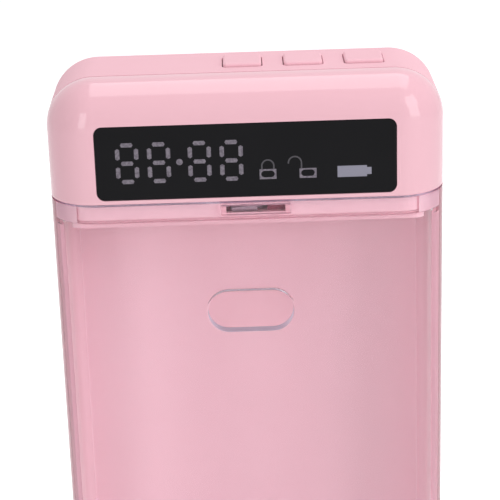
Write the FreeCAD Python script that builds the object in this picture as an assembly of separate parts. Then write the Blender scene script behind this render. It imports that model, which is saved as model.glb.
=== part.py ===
import FreeCAD, Part
import math
import os

# Timed lock container: an upright box for one phone, closed by a lift-off timer head.
# Frame: +Z up, +Y to the back, the origin on the floor under the middle of the box. Millimetres.

# ---- Driving dimensions -------------------------------------------------------------------------

# Whole object
WIDTH = 105.0              # box and head, side to side
DEPTH = 36.0               # box and head, front to back
RIM_HEIGHT = 171.4         # floor to the top edge of the container
HEAD_HEIGHT = 31.6         # head above its own lower edge
JOINT_GAP = 0.6            # daylight between the container's rim and the head
CORNER_RADIUS = 13.1       # corners of the front view
SIDE_RADIUS = 12.6         # upright front edges, seen from above
TOP_FRONT_RADIUS = 10.2    # front edge of the head's top
BOTTOM_FRONT_RADIUS = 8.0  # front edge of the container's floor
REAR_RADIUS = 3.0          # edges round the back

# Container
FRONT_WALL = 4.0           # clear front
SIDE_WALL = 3.2
BACK_WALL = 3.0
FLOOR_WALL = 3.0
MOUTH_FRONT_WALL = 2.6     # the walls are thinner at the mouth, which leaves a ledge for the head
MOUTH_SIDE_WALL = 2.2
MOUTH_BACK_WALL = 2.0
SEAT_GAP = 0.3             # head's skirt above its ledge
CLEAR_DEPTH = 9.4          # clear shell, from its front face to its seam
SEAM_GAP = 0.06
SHELL_LIP_LENGTH = 1.2     # locating lip of the rear shell, inside the clear shell
LIP_LENGTH = 2.0           # locating lip of the rear cover
LIP_WALL = 1.0
LIP_CLEARANCE = 0.12
LIP_END_DROP = 1.5         # the lips stop this short of the ledge and of the joint

FINGER_HOLE_WIDTH = 23.0   # capsule-shaped hole in the clear front
FINGER_HOLE_HEIGHT = 11.5
FINGER_HOLE_DROP = 30.9    # its centre below the rim
FINGER_HOLE_EDGE = 0.4     # softened edges

FOOT_DIAMETER = 7.0
FOOT_PROUD = 0.8           # rubber feet below the floor
FOOT_RECESS = 0.5          # depth of their recesses
FOOT_X = 30.0
FOOT_SEAM_GAP = 0.9        # front feet, behind the seam
FOOT_REAR_Y = 10.6
FOOT_CLEARANCE = 0.1

# Head shells
COVER_WALL = 2.2
CREASE_DEPTH = 12.0        # seam between front and rear cover, behind the front face
CREASE_GAP = 0.06
CREASE_GROOVE_WIDTH = 0.5
CREASE_GROOVE_DEPTH = 0.3

# Display
WINDOW_SIDE_MARGIN = 13.3  # from the window's ends to the head's sides
WINDOW_HEIGHT = 19.9
WINDOW_X = -0.1
WINDOW_LIFT = 1.1          # its lower edge above the head's lower edge
WINDOW_CORNER = 2.1
WINDOW_THICKNESS = 1.2
WINDOW_SINK = 0.1          # below the front face
WINDOW_CLEARANCE = 0.12
WINDOW_LEDGE = 2.2         # glued border behind the window
LED_DEPTH = 5.6
LED_CLEARANCE = 0.4

# Buttons
BUTTON_SIZE = 10.3
BUTTON_CORNER = 1.1
BUTTON_CROWN = 0.7         # rounding of the top edge
BUTTON_PITCH = 16.2
BUTTON_SIDE_MARGIN = 20.4  # middle of the right button, from the head's side
BUTTON_Y = 4.3
BUTTON_PROUD = 0.95
BUTTON_GAP = 0.25
BUTTON_FLANGE = 1.2        # collar that keeps the button in
BUTTON_FLANGE_THICKNESS = 0.8
BUTTON_TRAVEL = 0.5
STEM_DIAMETER = 4.4
MOVING_CLEARANCE = 0.3     # between pieces that move past each other

# Switches and boards
SWITCH_SIZE = 6.0
SWITCH_HEIGHT = 3.5
PLUNGER_DIAMETER = 3.3
PLUNGER_PROUD = 0.75
PLUNGER_SUNK = 2.2
BOARD_THICKNESS = 1.2
BOARD_CORNER = 1.0
MAIN_BOARD_CLEARANCE = 0.4 # beside the front cover's screw bosses
MAIN_BOARD_LIFT = 0.2      # above the lock's housing
KEY_BOARD_WIDTH = 8.6
KEY_BOARD_OVERHANG = 2.6   # past the outer switches
CHARGE_BOARD_WIDTH = 20.0
CHARGE_BOARD_LENGTH = 14.0
CHARGE_CLEARANCE = 2.5     # charging board, beside the rear cover's screw boss
CHARGE_POST_DIAMETER = 4.0
CHARGE_POST_INSET = 3.0    # posts, from the charging board's ends
CHARGE_LIFT = 5.2          # middle of the charging socket above the head's lower edge
SOCKET_WIDTH = 8.9
SOCKET_HEIGHT = 3.2
SOCKET_LENGTH = 7.3
SOCKET_WALL = 0.35
SOCKET_CLEARANCE = 0.35
BUZZER_DIAMETER = 9.0
BUZZER_HEIGHT = 4.5
BUZZER_INSET = 11.1        # from the main board's left end
CONTROLLER_SIZE = 7.0
CONTROLLER_HEIGHT = 1.2
CONTROLLER_INSET = 28.6
DRIVER_WIDTH = 5.0         # motor driver
DRIVER_LENGTH = 4.0
DRIVER_HEIGHT = 1.4
DRIVER_INSET = 17.4        # from the main board's right end
PLUG_WIDTH = 6.0           # wire connectors
PLUG_LENGTH = 4.0
PLUG_HEIGHT = 4.0
PLUG_PITCH = 7.0
PLUG_INSET = 2.9
PLUG_DROP = 7.5            # below the middle of the main board

# Battery
BATTERY_BOSS_GAP = 1.0     # from the cell's end to the screw boss
BATTERY_LOCK_GAP = 2.5     # from its other end to the lock's housing
BATTERY_HEIGHT = 24.0
BATTERY_THICKNESS = 9.0
BATTERY_GUARD_INSET = 2.0  # folded top edge of the cell
BATTERY_GUARD_WIDTH = 2.4
BATTERY_GUARD_HEIGHT = 1.5
RIB_THICKNESS = 1.6        # ribs of the tray in front of the cell
RIB_HEIGHT = 7.0
BATTERY_CLEARANCE = 0.3

# Head's base tray
SKIRT_GAP = 0.4            # round the skirt, in the container's mouth
SKIRT_DEPTH = 5.6
SKIRT_WALL = 1.6
SKIRT_BEVEL = 0.6
TRAY_FLOOR = 1.4
BASE_RIM_INSETS = (5.6, 6.2, 3.6)  # straight rim under the tray: front, side and back
BASE_RIM_DEPTH = 2.1       # below the skirt
BASE_RIM_WALL = 1.6
BASE_RIM_CORNER = 2.5
FLANGE_THICKNESS = 1.6
FLANGE_CLEARANCE = 0.12
ROOT_DEPTH = 0.5           # posts and ribs start this far inside what carries them

# Lock
SLOT_X = 2.1               # slot in the skirt that the bolt leaves through
SLOT_WIDTH = 15.6
SLOT_HEIGHT = 2.4
SLOT_DROP = 1.75           # its upper edge below the head's lower edge
POCKET_WIDTH = 18.4        # blind pocket in the clear wall that the bolt enters
POCKET_MARGIN = 0.35       # above and below the bolt
POCKET_SKIN = 1.1          # clear wall left in front of the pocket
BOLT_WIDTH = 8.2
BOLT_X = -0.2
BOLT_LENGTH = 17.0
BOLT_CLEARANCE = 0.25      # under and over the bolt
BOLT_TRAVEL = 1.6
BOLT_TIP_BEVEL = 0.7
TONGUE_WIDTH = 6.8         # narrower end of the bolt, seen in the slot
TONGUE_LENGTH = 2.8
TONGUE_SLOPE = 0.75        # its top falls this much towards the left
GEAR_MODULE = 0.5
PINION_TEETH = 14
RACK_TEETH = 6
RACK_ADDENDUM = 0.40
RACK_DEDENDUM = 0.58
PINION_ADDENDUM = 0.42
PINION_DEDENDUM = 0.60
GEAR_BACKLASH = 0.14
PRESSURE_ANGLE = 20.0
PINION_Y = -3.3
SHAFT_DIAMETER = 3.0
SHAFT_CLEARANCE = 0.15
HOUSING_ROOF = 1.6
HOUSING_WALL = 2.4
HOUSING_CORNER = 1.5
MOTOR_WIDTH = 12.0
MOTOR_DEPTH = 10.0
GEARBOX_HEIGHT = 9.0
MOTOR_HEIGHT = 12.0
GEARBOX_PLATE = 0.8

# Fasteners
SCREW_DIAMETER = 2.6
SCREW_HEAD_DIAMETER = 4.6
SCREW_HEAD_HEIGHT = 1.8
SCREW_LENGTH = 10.0
SCREW_CLEARANCE = 0.15
SCREW_INSET_X = 10.2       # case screws, from the head's side
SCREW_INSET_FRONT = 9.0
SCREW_INSET_BACK = 7.4
BOSS_DIAMETER = 5.6
POST_HEIGHT = 5.6
SMALL_SCREW_DIAMETER = 1.8
SMALL_HEAD_DIAMETER = 3.2
SMALL_HEAD_HEIGHT = 1.0
SMALL_SCREW_LENGTH = 4.0

# ---- Levels and places worked out from them -----------------------------------------------------

HALF = WIDTH / 2
WINDOW_WIDTH = WIDTH - 2 * WINDOW_SIDE_MARGIN
FRONT = -DEPTH / 2
BACK = DEPTH / 2
FLOOR_Z = FOOT_PROUD
HEAD_Z = RIM_HEIGHT + JOINT_GAP
TOP_Z = HEAD_Z + HEAD_HEIGHT
ROOF_Z = TOP_Z - COVER_WALL
CREASE_Y = FRONT + CREASE_DEPTH
SEAM_Y = FRONT + CLEAR_DEPTH
FOOT_FRONT_Y = SEAM_Y + FOOT_SEAM_GAP + FOOT_DIAMETER / 2
SKIRT_Z = HEAD_Z - SKIRT_DEPTH
TRAY_TOP_Z = SKIRT_Z + TRAY_FLOOR
BASE_RIM_Z = SKIRT_Z - BASE_RIM_DEPTH
SEAT_Z = SKIRT_Z - SEAT_GAP
CAVITY_INSETS = (FRONT_WALL, SIDE_WALL, BACK_WALL)
MOUTH_INSETS = (MOUTH_FRONT_WALL, MOUTH_SIDE_WALL, MOUTH_BACK_WALL)
COVER_INSETS = (COVER_WALL, COVER_WALL, COVER_WALL)
SKIRT_INSETS = tuple(wall + SKIRT_GAP for wall in MOUTH_INSETS)
SKIRT_FRONT_Y = FRONT + SKIRT_INSETS[0]

WINDOW_Z = HEAD_Z + WINDOW_LIFT + WINDOW_HEIGHT / 2
WINDOW_FRONT_Y = FRONT + WINDOW_SINK
WINDOW_BACK_Y = WINDOW_FRONT_Y + WINDOW_THICKNESS
APERTURE_WIDTH = WINDOW_WIDTH - 2 * WINDOW_LEDGE
APERTURE_HEIGHT = WINDOW_HEIGHT - 2 * WINDOW_LEDGE
LED_BACK_Y = WINDOW_BACK_Y + LED_DEPTH
SCREW_X = HALF - SCREW_INSET_X
SCREW_FRONT_Y = FRONT + SCREW_INSET_FRONT
SCREW_REAR_Y = BACK - SCREW_INSET_BACK
BOSS_X = SCREW_X - BOSS_DIAMETER / 2
MAIN_BOARD_WIDTH = 2 * (BOSS_X - abs(WINDOW_X) - MAIN_BOARD_CLEARANCE)
MAIN_BOARD_Z = WINDOW_Z
MAIN_BOARD_BACK_Y = LED_BACK_Y + BOARD_THICKNESS

BUTTON_MIDDLE_X = HALF - BUTTON_SIDE_MARGIN - BUTTON_PITCH
BUTTON_XS = {
    "left": BUTTON_MIDDLE_X - BUTTON_PITCH,
    "middle": BUTTON_MIDDLE_X,
    "right": BUTTON_MIDDLE_X + BUTTON_PITCH,
}
FLANGE_TOP_Z = ROOF_Z - MOVING_CLEARANCE
STEM_LOW_Z = FLANGE_TOP_Z - BUTTON_FLANGE_THICKNESS - 0.9
SWITCH_TOP_Z = STEM_LOW_Z - PLUNGER_PROUD
KEY_BOARD_TOP_Z = SWITCH_TOP_Z - SWITCH_HEIGHT
KEY_BOARD_LOW_Z = KEY_BOARD_TOP_Z - BOARD_THICKNESS

SLOT_TOP_Z = HEAD_Z - SLOT_DROP
BOLT_LOW_Z = TRAY_TOP_Z + BOLT_CLEARANCE
BOLT_TOP_Z = SLOT_TOP_Z - BOLT_CLEARANCE
BOLT_TIP_Y = SKIRT_FRONT_Y
HOUSING_Z = BOLT_TOP_Z + BOLT_CLEARANCE
MOTOR_Z = HOUSING_Z + HOUSING_ROOF
PINION_RADIUS = GEAR_MODULE * PINION_TEETH / 2
RACK_LINE_X = BOLT_X + BOLT_WIDTH / 2 + RACK_DEDENDUM
PINION_X = RACK_LINE_X + PINION_RADIUS
PITCH = math.pi * GEAR_MODULE

POST_TOP_Z = TRAY_TOP_Z + POST_HEIGHT
BATTERY_BACK_Y = BACK - SKIRT_INSETS[2] - SKIRT_WALL - BATTERY_CLEARANCE
HOUSING_LOW_X = BOLT_X - BOLT_WIDTH / 2 - MOVING_CLEARANCE - HOUSING_WALL
BATTERY_LOW_X = BATTERY_BOSS_GAP - BOSS_X
BATTERY_HIGH_X = HOUSING_LOW_X - BATTERY_LOCK_GAP
BATTERY_LENGTH = BATTERY_HIGH_X - BATTERY_LOW_X
BATTERY_X = (BATTERY_LOW_X + BATTERY_HIGH_X) / 2
CHARGE_X = BOSS_X - CHARGE_CLEARANCE - CHARGE_BOARD_WIDTH / 2
MAIN_BOARD_HEIGHT = 2 * (MAIN_BOARD_Z - MOTOR_Z - MAIN_BOARD_LIFT)
FAR = 500.0                # half-spaces reach this far


# ---- Basic shapes -------------------------------------------------------------------------------

def vec(x, y, z):
    """A FreeCAD vector."""
    return FreeCAD.Vector(x, y, z)


def box(x_low, x_high, y_low, y_high, z_low, z_high):
    """A box between two corners."""
    return Part.makeBox(x_high - x_low, y_high - y_low, z_high - z_low, vec(x_low, y_low, z_low))


def upright(x, y, z_low, z_high, diameter):
    """A vertical cylinder."""
    return Part.makeCylinder(diameter / 2, z_high - z_low, vec(x, y, z_low))


def lying(x, z, y_low, y_high, diameter):
    """A cylinder along Y."""
    return Part.makeCylinder(diameter / 2, y_high - y_low, vec(x, y_low, z), vec(0, 1, 0))


def in_front_of(y):
    """Everything in front of a plane across the depth."""
    return box(-FAR, FAR, -FAR, y, -FAR, FAR)


def behind(y):
    """Everything behind a plane across the depth."""
    return box(-FAR, FAR, y, FAR, -FAR, FAR)


def slab(y_low, y_high, z_low=-FAR, z_high=FAR):
    """A full-width slab between two depths."""
    return box(-FAR, FAR, y_low, y_high, z_low, z_high)


def fuse(shapes):
    """One solid from several that touch or overlap."""
    whole = shapes[0].multiFuse(shapes[1:]) if len(shapes) > 1 else shapes[0]
    return whole.removeSplitter()


def group(solids):
    """Several separate solids in one shape."""
    return Part.makeCompound(solids)


def rounded_rectangle(width, height, radius):
    """A closed wire in the XY plane, centred on the origin."""
    radius = min(radius, width / 2 - 0.01, height / 2 - 0.01)
    x, y = width / 2, height / 2
    bend = radius * (1 - math.sqrt(0.5))
    edges = []
    for turn in range(4):
        quarter = []
        half_x, half_y = (x, y) if turn % 2 == 0 else (y, x)
        quarter.append(Part.LineSegment(vec(half_x, radius - half_y, 0), vec(half_x, half_y - radius, 0)))
        quarter.append(Part.Arc(vec(half_x, half_y - radius, 0), vec(half_x - bend, half_y - bend, 0),
                                vec(half_x - radius, half_y, 0)))
        for curve in quarter:
            edge = curve.toShape()
            edge.rotate(vec(0, 0, 0), vec(0, 0, 1), 90 * turn)
            edges.append(edge)
    return Part.Wire(Part.__sortEdges__(edges))


def plate_up(x, y, width, depth, radius, z_low, z_high):
    """A rounded plate standing on the XY plane."""
    face = Part.Face(rounded_rectangle(width, depth, radius))
    face.translate(vec(x, y, z_low))
    return face.extrude(vec(0, 0, z_high - z_low))


def plate_facing(x, z, width, height, radius, y_low, y_high):
    """A rounded plate that faces the front."""
    face = Part.Face(rounded_rectangle(width, height, radius))
    face.rotate(vec(0, 0, 0), vec(1, 0, 0), 90)
    face.translate(vec(x, y_high, z))
    return face.extrude(vec(0, y_low - y_high, 0))


# ---- Outer forms shared by the box and the head -------------------------------------------------

def arch_face(half_width, z_flat, z_round, radius, y):
    """Front-view outline: square where the head and box meet, rounded at the far end."""
    up = 1 if z_round > z_flat else -1
    z_bend = z_round - up * radius
    x_bend = half_width - radius
    k = radius * math.sqrt(0.5)
    left_arc = (vec(-half_width, y, z_bend), vec(-x_bend - k, y, z_bend + up * k), vec(-x_bend, y, z_round))
    right_arc = (vec(x_bend, y, z_round), vec(x_bend + k, y, z_bend + up * k), vec(half_width, y, z_bend))
    curves = [
        Part.LineSegment(vec(-half_width, y, z_flat), left_arc[0]),
        Part.Arc(*left_arc),
        Part.LineSegment(left_arc[2], right_arc[0]),
        Part.Arc(*right_arc),
        Part.LineSegment(right_arc[2], vec(half_width, y, z_flat)),
        Part.LineSegment(vec(half_width, y, z_flat), vec(-half_width, y, z_flat)),
    ]
    return Part.Face(Part.Wire([curve.toShape() for curve in curves]))


def rounded_body(half_width, y_front, y_back, z_flat, z_round, radii):
    """The arch outline through the depth, with its front and back edges rounded.

    radii holds the corner, upright front, far front and rear radius. The front rounding changes
    evenly from the upright radius to the far one along each corner.
    """
    corner, side, far, rear = radii
    face = arch_face(half_width, z_flat, z_round, corner, y_front)
    solid = face.extrude(vec(0, y_back - y_front, 0))
    up = 1 if z_round > z_flat else -1
    z_bend = z_round - up * corner
    rounds = []
    for index, edge in enumerate(solid.Edges, start=1):
        centre = edge.CenterOfMass
        at_front = abs(centre.y - y_front) < 1e-6
        at_back = abs(centre.y - y_back) < 1e-6
        at_joint = abs(centre.z - z_flat) < 1e-6
        if at_joint or not (at_front or at_back):
            continue
        if at_back:
            rounds.append((index, rear, rear))
        elif abs(abs(centre.x) - half_width) < 1e-6:
            rounds.append((index, side, side))
        elif abs(centre.x) < 1e-6:
            rounds.append((index, far, far))
        else:
            start = edge.valueAt(edge.FirstParameter)
            starts_at_side = abs(start.z - z_bend) < 1e-6
            rounds.append((index, side, far) if starts_at_side else (index, far, side))
    return filleted(solid, rounds)


def filleted(solid, rounds):
    """Rounds edges, each given as its number, first radius and last radius."""
    document = FreeCAD.newDocument("rounding")
    base = document.addObject("Part::Feature", "Base")
    base.Shape = solid
    fillet = document.addObject("Part::Fillet", "Rounded")
    fillet.Base = base
    fillet.Edges = rounds
    document.recompute()
    result = fillet.Shape.copy()
    FreeCAD.closeDocument(document.Name)
    return result.Solids[0]


def inset_radii(far_radius, wall_side, wall_far):
    """The four radii of a rounded body, drawn in by its walls."""
    least = 0.6
    corner = max(CORNER_RADIUS - wall_side, least + 0.4)
    side = min(max(SIDE_RADIUS - wall_side, least), corner - 0.4)
    far = min(max(far_radius - wall_far, least), corner - 0.4)
    rear = max(REAR_RADIUS - wall_side, least)
    return corner, side, far, rear


def box_body(walls, z_flat, floor):
    """The container's form drawn in by (front, side, back) walls and a floor."""
    front, side, back = walls
    radii = inset_radii(BOTTOM_FRONT_RADIUS, side, floor)
    return rounded_body(HALF - side, FRONT + front, BACK - back, z_flat, FLOOR_Z + floor, radii)


def head_body(wall, z_flat):
    """The head's form drawn in by one wall all round."""
    radii = inset_radii(TOP_FRONT_RADIUS, wall, wall)
    return rounded_body(HALF - wall, FRONT + wall, BACK - wall, z_flat, TOP_Z - wall, radii)


def plan_wire(insets, z):
    """Outline of the box from above, drawn in by (front, side, back) insets."""
    front, side, back = insets
    _, front_radius, _, rear_radius = inset_radii(BOTTOM_FRONT_RADIUS, side, side)
    x = HALF - side
    y_front, y_back = FRONT + front, BACK - back
    k_front = front_radius * (1 - math.sqrt(0.5))
    k_rear = rear_radius * (1 - math.sqrt(0.5))
    curves = []
    curves.append(Part.LineSegment(vec(front_radius - x, y_front, z), vec(x - front_radius, y_front, z)))
    curves.append(Part.Arc(vec(x - front_radius, y_front, z), vec(x - k_front, y_front + k_front, z),
                           vec(x, y_front + front_radius, z)))
    curves.append(Part.LineSegment(vec(x, y_front + front_radius, z), vec(x, y_back - rear_radius, z)))
    curves.append(Part.Arc(vec(x, y_back - rear_radius, z), vec(x - k_rear, y_back - k_rear, z),
                           vec(x - rear_radius, y_back, z)))
    curves.append(Part.LineSegment(vec(x - rear_radius, y_back, z), vec(rear_radius - x, y_back, z)))
    curves.append(Part.Arc(vec(rear_radius - x, y_back, z), vec(k_rear - x, y_back - k_rear, z),
                           vec(-x, y_back - rear_radius, z)))
    curves.append(Part.LineSegment(vec(-x, y_back - rear_radius, z), vec(-x, y_front + front_radius, z)))
    curves.append(Part.Arc(vec(-x, y_front + front_radius, z), vec(k_front - x, y_front + k_front, z),
                           vec(front_radius - x, y_front, z)))
    return Part.Wire([curve.toShape() for curve in curves])


def plan_block(insets, z_low, z_high):
    """The plan outline extruded upwards."""
    return Part.Face(plan_wire(insets, z_low)).extrude(vec(0, 0, z_high - z_low))


# ---- Container ----------------------------------------------------------------------------------

def container_shell():
    """The whole box with its cavity, ledge and mouth, before it is split at the seam."""
    outer = box_body((0, 0, 0), RIM_HEIGHT, 0)
    cavity = box_body(CAVITY_INSETS, SEAT_Z + 1, FLOOR_WALL)
    mouth = plan_block(MOUTH_INSETS, SEAT_Z, RIM_HEIGHT + 1)
    recesses = [upright(x, y, FLOOR_Z - 1, FLOOR_Z + FOOT_RECESS, FOOT_DIAMETER + 2 * FOOT_CLEARANCE)
                for x, y in foot_places()]
    return outer.cut([cavity, mouth] + recesses)


def foot_places():
    """Centres of the four feet."""
    return [(x, y) for x in (-FOOT_X, FOOT_X) for y in (FOOT_FRONT_Y, FOOT_REAR_Y)]


def container_lip(clearance):
    """The rear shell's locating lip inside the clear shell's side and bottom walls."""
    grow = LIP_WALL + clearance
    walls = tuple(wall - grow for wall in CAVITY_INSETS)
    z_end = SEAT_Z - LIP_END_DROP + clearance
    outer = box_body(walls, z_end, FLOOR_WALL - grow)
    cavity = box_body(CAVITY_INSETS, z_end + 1, FLOOR_WALL)
    return outer.cut(cavity).common(slab(SEAM_Y - SHELL_LIP_LENGTH - clearance, SEAM_Y + SEAM_GAP))


def finger_hole():
    """Cutter for the capsule-shaped hole, flared a little at both faces."""
    z = RIM_HEIGHT - FINGER_HOLE_DROP
    width, height, radius = FINGER_HOLE_WIDTH, FINGER_HOLE_HEIGHT, FINGER_HOLE_HEIGHT / 2
    cutters = [plate_facing(0, z, width, height, radius, FRONT - 1, FRONT + FRONT_WALL + 1)]
    for y, step in ((FRONT, 1), (FRONT + FRONT_WALL, -1)):
        wires = []
        for grow, offset in ((FINGER_HOLE_EDGE, 0), (0, step * FINGER_HOLE_EDGE)):
            wire = rounded_rectangle(width + 2 * grow, height + 2 * grow, radius + grow)
            wire.rotate(vec(0, 0, 0), vec(1, 0, 0), 90)
            wire.translate(vec(0, y + offset, z))
            wires.append(wire)
        cutters.append(Part.makeLoft(wires, True, True))
    return cutters


def bolt_pocket():
    """Blind pocket in the clear wall for the lock bolt."""
    return box(SLOT_X - POCKET_WIDTH / 2, SLOT_X + POCKET_WIDTH / 2,
               FRONT + POCKET_SKIN, FRONT + MOUTH_FRONT_WALL + 0.01,
               BOLT_LOW_Z - POCKET_MARGIN, BOLT_TOP_Z + POCKET_MARGIN)


def clear_front_shell():
    """Clear front, sides and floor up to the seam."""
    shell = container_shell().common(in_front_of(SEAM_Y - SEAM_GAP / 2))
    return shell.cut(finger_hole() + [bolt_pocket(), container_lip(LIP_CLEARANCE)])


def rear_shell():
    """Opaque back, sides and floor behind the seam, with its locating lip."""
    shell = container_shell().common(behind(SEAM_Y + SEAM_GAP / 2))
    return fuse([shell, container_lip(0)])


def rubber_feet():
    """Four round pads, one to each recess."""
    feet = []
    for x, y in foot_places():
        foot = upright(x, y, 0, FLOOR_Z + FOOT_RECESS, FOOT_DIAMETER)
        rim = [edge for edge in foot.Edges if abs(edge.CenterOfMass.z) < 1e-6 and len(edge.Vertexes) == 1]
        feet.append(foot.makeChamfer(FOOT_PROUD / 3, rim))
    return group(feet)


# ---- Head: covers and window --------------------------------------------------------------------

def head_shell():
    """Hollow head with the groove that hides the seam between its two covers."""
    inner = head_body(COVER_WALL, HEAD_Z - 1)
    half_groove = CREASE_GROOVE_WIDTH / 2
    core = arch_face(HALF - CREASE_GROOVE_DEPTH, HEAD_Z - 1, TOP_Z - CREASE_GROOVE_DEPTH,
                     CORNER_RADIUS - CREASE_GROOVE_DEPTH, CREASE_Y - half_groove)
    core = core.extrude(vec(0, CREASE_GROOVE_WIDTH, 0))
    groove = slab(CREASE_Y - half_groove, CREASE_Y + half_groove).cut(core)
    return head_body(0, HEAD_Z).cut([inner, groove])


def case_boss(x, y):
    """Boss of a cover for one case screw, from the tray's post up to the roof."""
    column = upright(x, y, POST_TOP_Z, TOP_Z, BOSS_DIAMETER)
    column = column.common(head_body(COVER_WALL / 2, HEAD_Z))
    tip_z = TRAY_TOP_Z - TRAY_FLOOR + SCREW_HEAD_HEIGHT + SCREW_LENGTH + 1
    return column.cut(upright(x, y, POST_TOP_Z - 1, tip_z, SCREW_DIAMETER))


def front_cover():
    """Front of the head, with the window's recess and aperture."""
    shell = head_shell().common(in_front_of(CREASE_Y - CREASE_GAP / 2))
    grow = 2 * WINDOW_CLEARANCE
    recess = plate_facing(WINDOW_X, WINDOW_Z, WINDOW_WIDTH + grow, WINDOW_HEIGHT + grow,
                          WINDOW_CORNER + WINDOW_CLEARANCE, FRONT - 1, WINDOW_BACK_Y)
    aperture = plate_facing(WINDOW_X, WINDOW_Z, APERTURE_WIDTH, APERTURE_HEIGHT, WINDOW_CORNER / 2,
                            FRONT - 1, FRONT + COVER_WALL + 1)
    bosses = [case_boss(x, SCREW_FRONT_Y) for x in (-SCREW_X, SCREW_X)]
    posts = [lying(x, z, FRONT + COVER_WALL - ROOT_DEPTH, LED_BACK_Y, BOSS_DIAMETER * 0.7)
             for x, z in board_screw_places()]
    holes = [lying(x, z, LED_BACK_Y - SMALL_SCREW_LENGTH, LED_BACK_Y + 1, SMALL_SCREW_DIAMETER)
             for x, z in board_screw_places()]
    return fuse([shell.cut([recess, aperture])] + bosses + posts).cut(holes)


def board_screw_places():
    """The two screws of the main board, beside the window's aperture."""
    x = MAIN_BOARD_WIDTH / 2 - SMALL_HEAD_DIAMETER / 2 - 0.2
    z = MAIN_BOARD_Z + MAIN_BOARD_HEIGHT / 2 - SMALL_HEAD_DIAMETER / 2 - 0.4
    return [(WINDOW_X - x, z), (WINDOW_X + x, z)]


def button_hole(x):
    """Square hole in the roof for one button."""
    size = BUTTON_SIZE + 2 * BUTTON_GAP
    return plate_up(x, BUTTON_Y, size, size, BUTTON_CORNER + BUTTON_GAP, ROOF_Z - 1, TOP_Z + 1)


def key_post_places():
    """The two posts that carry the key board, between the buttons."""
    return [(BUTTON_MIDDLE_X + side * BUTTON_PITCH / 2, BUTTON_Y) for side in (-1, 1)]


def rear_cover_lip():
    """Locating lip of the rear cover inside the front cover."""
    outer = head_body(COVER_WALL + LIP_CLEARANCE, HEAD_Z + FLANGE_THICKNESS + LIP_END_DROP)
    inner = head_body(COVER_WALL + LIP_CLEARANCE + LIP_WALL, HEAD_Z)
    ring = outer.cut(inner).common(slab(CREASE_Y - LIP_LENGTH, CREASE_Y + LIP_LENGTH))
    ring = ring.cut([upright(x, SCREW_FRONT_Y, HEAD_Z, TOP_Z, BOSS_DIAMETER + 2 * LIP_CLEARANCE)
                     for x in (-SCREW_X, SCREW_X)])
    root_outer = head_body(COVER_WALL - 0.2, HEAD_Z + FLANGE_THICKNESS + LIP_END_DROP)
    root = root_outer.cut(inner).common(slab(CREASE_Y + CREASE_GAP / 2, CREASE_Y + LIP_LENGTH))
    return [ring, root]


def socket_opening():
    """Hole in the back for the charging plug."""
    grow = 2 * SOCKET_CLEARANCE
    height = SOCKET_HEIGHT + grow
    return plate_facing(CHARGE_X, HEAD_Z + CHARGE_LIFT, SOCKET_WIDTH + grow, height, height / 2,
                        BACK - COVER_WALL - 1, BACK + 1)


def rear_cover():
    """Roof, back and sides of the head behind the crease."""
    shell = head_shell().common(behind(CREASE_Y + CREASE_GAP / 2))
    bosses = [case_boss(x, SCREW_REAR_Y) for x in (-SCREW_X, SCREW_X)]
    posts = []
    holes = [button_hole(x) for x in BUTTON_XS.values()] + [socket_opening()]
    for x, y in key_post_places():
        diameter = BUTTON_PITCH - BUTTON_SIZE - 2 * (BUTTON_FLANGE + MOVING_CLEARANCE)
        posts.append(upright(x, y, KEY_BOARD_TOP_Z, ROOF_Z + ROOT_DEPTH, diameter))
        holes.append(upright(x, y, KEY_BOARD_TOP_Z - 1, KEY_BOARD_TOP_Z + SMALL_SCREW_LENGTH,
                             SMALL_SCREW_DIAMETER))
    return fuse([shell] + rear_cover_lip() + bosses + posts).cut(holes)


def display_window():
    """Smoked window, flush in its recess."""
    return plate_facing(WINDOW_X, WINDOW_Z, WINDOW_WIDTH, WINDOW_HEIGHT, WINDOW_CORNER,
                        WINDOW_FRONT_Y, WINDOW_BACK_Y)


# ---- Head: electronics --------------------------------------------------------------------------

def led_display():
    """Moulded light box of the digits and signs, behind the window."""
    width = APERTURE_WIDTH - 2 * LED_CLEARANCE
    height = APERTURE_HEIGHT - 2 * LED_CLEARANCE
    return plate_facing(WINDOW_X, WINDOW_Z, width, height, WINDOW_CORNER / 2, WINDOW_BACK_Y, LED_BACK_Y)


def main_board():
    """Upright circuit board behind the light box."""
    board = plate_facing(WINDOW_X, MAIN_BOARD_Z, MAIN_BOARD_WIDTH, MAIN_BOARD_HEIGHT, BOARD_CORNER,
                         LED_BACK_Y, MAIN_BOARD_BACK_Y)
    holes = [lying(x, z, LED_BACK_Y - 1, MAIN_BOARD_BACK_Y + 1, SMALL_SCREW_DIAMETER + 0.3)
             for x, z in board_screw_places()]
    return board.cut(holes)


def small_screw(x, y, z, axis):
    """A small pan-head screw; its head sits at the point and the shank runs along the axis."""
    head = Part.makeCylinder(SMALL_HEAD_DIAMETER / 2, SMALL_HEAD_HEIGHT, vec(x, y, z), axis * -1)
    shank = Part.makeCylinder(SMALL_SCREW_DIAMETER / 2 - 0.05, SMALL_SCREW_LENGTH, vec(x, y, z), axis)
    return head.fuse(shank).removeSplitter()


def board_screws():
    """Screws of the main board and the key board."""
    screws = [small_screw(x, MAIN_BOARD_BACK_Y, z, vec(0, -1, 0)) for x, z in board_screw_places()]
    screws += [small_screw(x, y, KEY_BOARD_LOW_Z, vec(0, 0, 1)) for x, y in key_post_places()]
    return group(screws)


def buzzer():
    """Round buzzer on the back of the main board."""
    x = WINDOW_X - MAIN_BOARD_WIDTH / 2 + BUZZER_INSET
    back_y = MAIN_BOARD_BACK_Y + BUZZER_HEIGHT
    body = lying(x, MAIN_BOARD_Z, MAIN_BOARD_BACK_Y, back_y, BUZZER_DIAMETER)
    return body.cut(lying(x, MAIN_BOARD_Z, back_y - BUZZER_HEIGHT / 4, back_y + 1, BUZZER_DIAMETER / 5))


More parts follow.
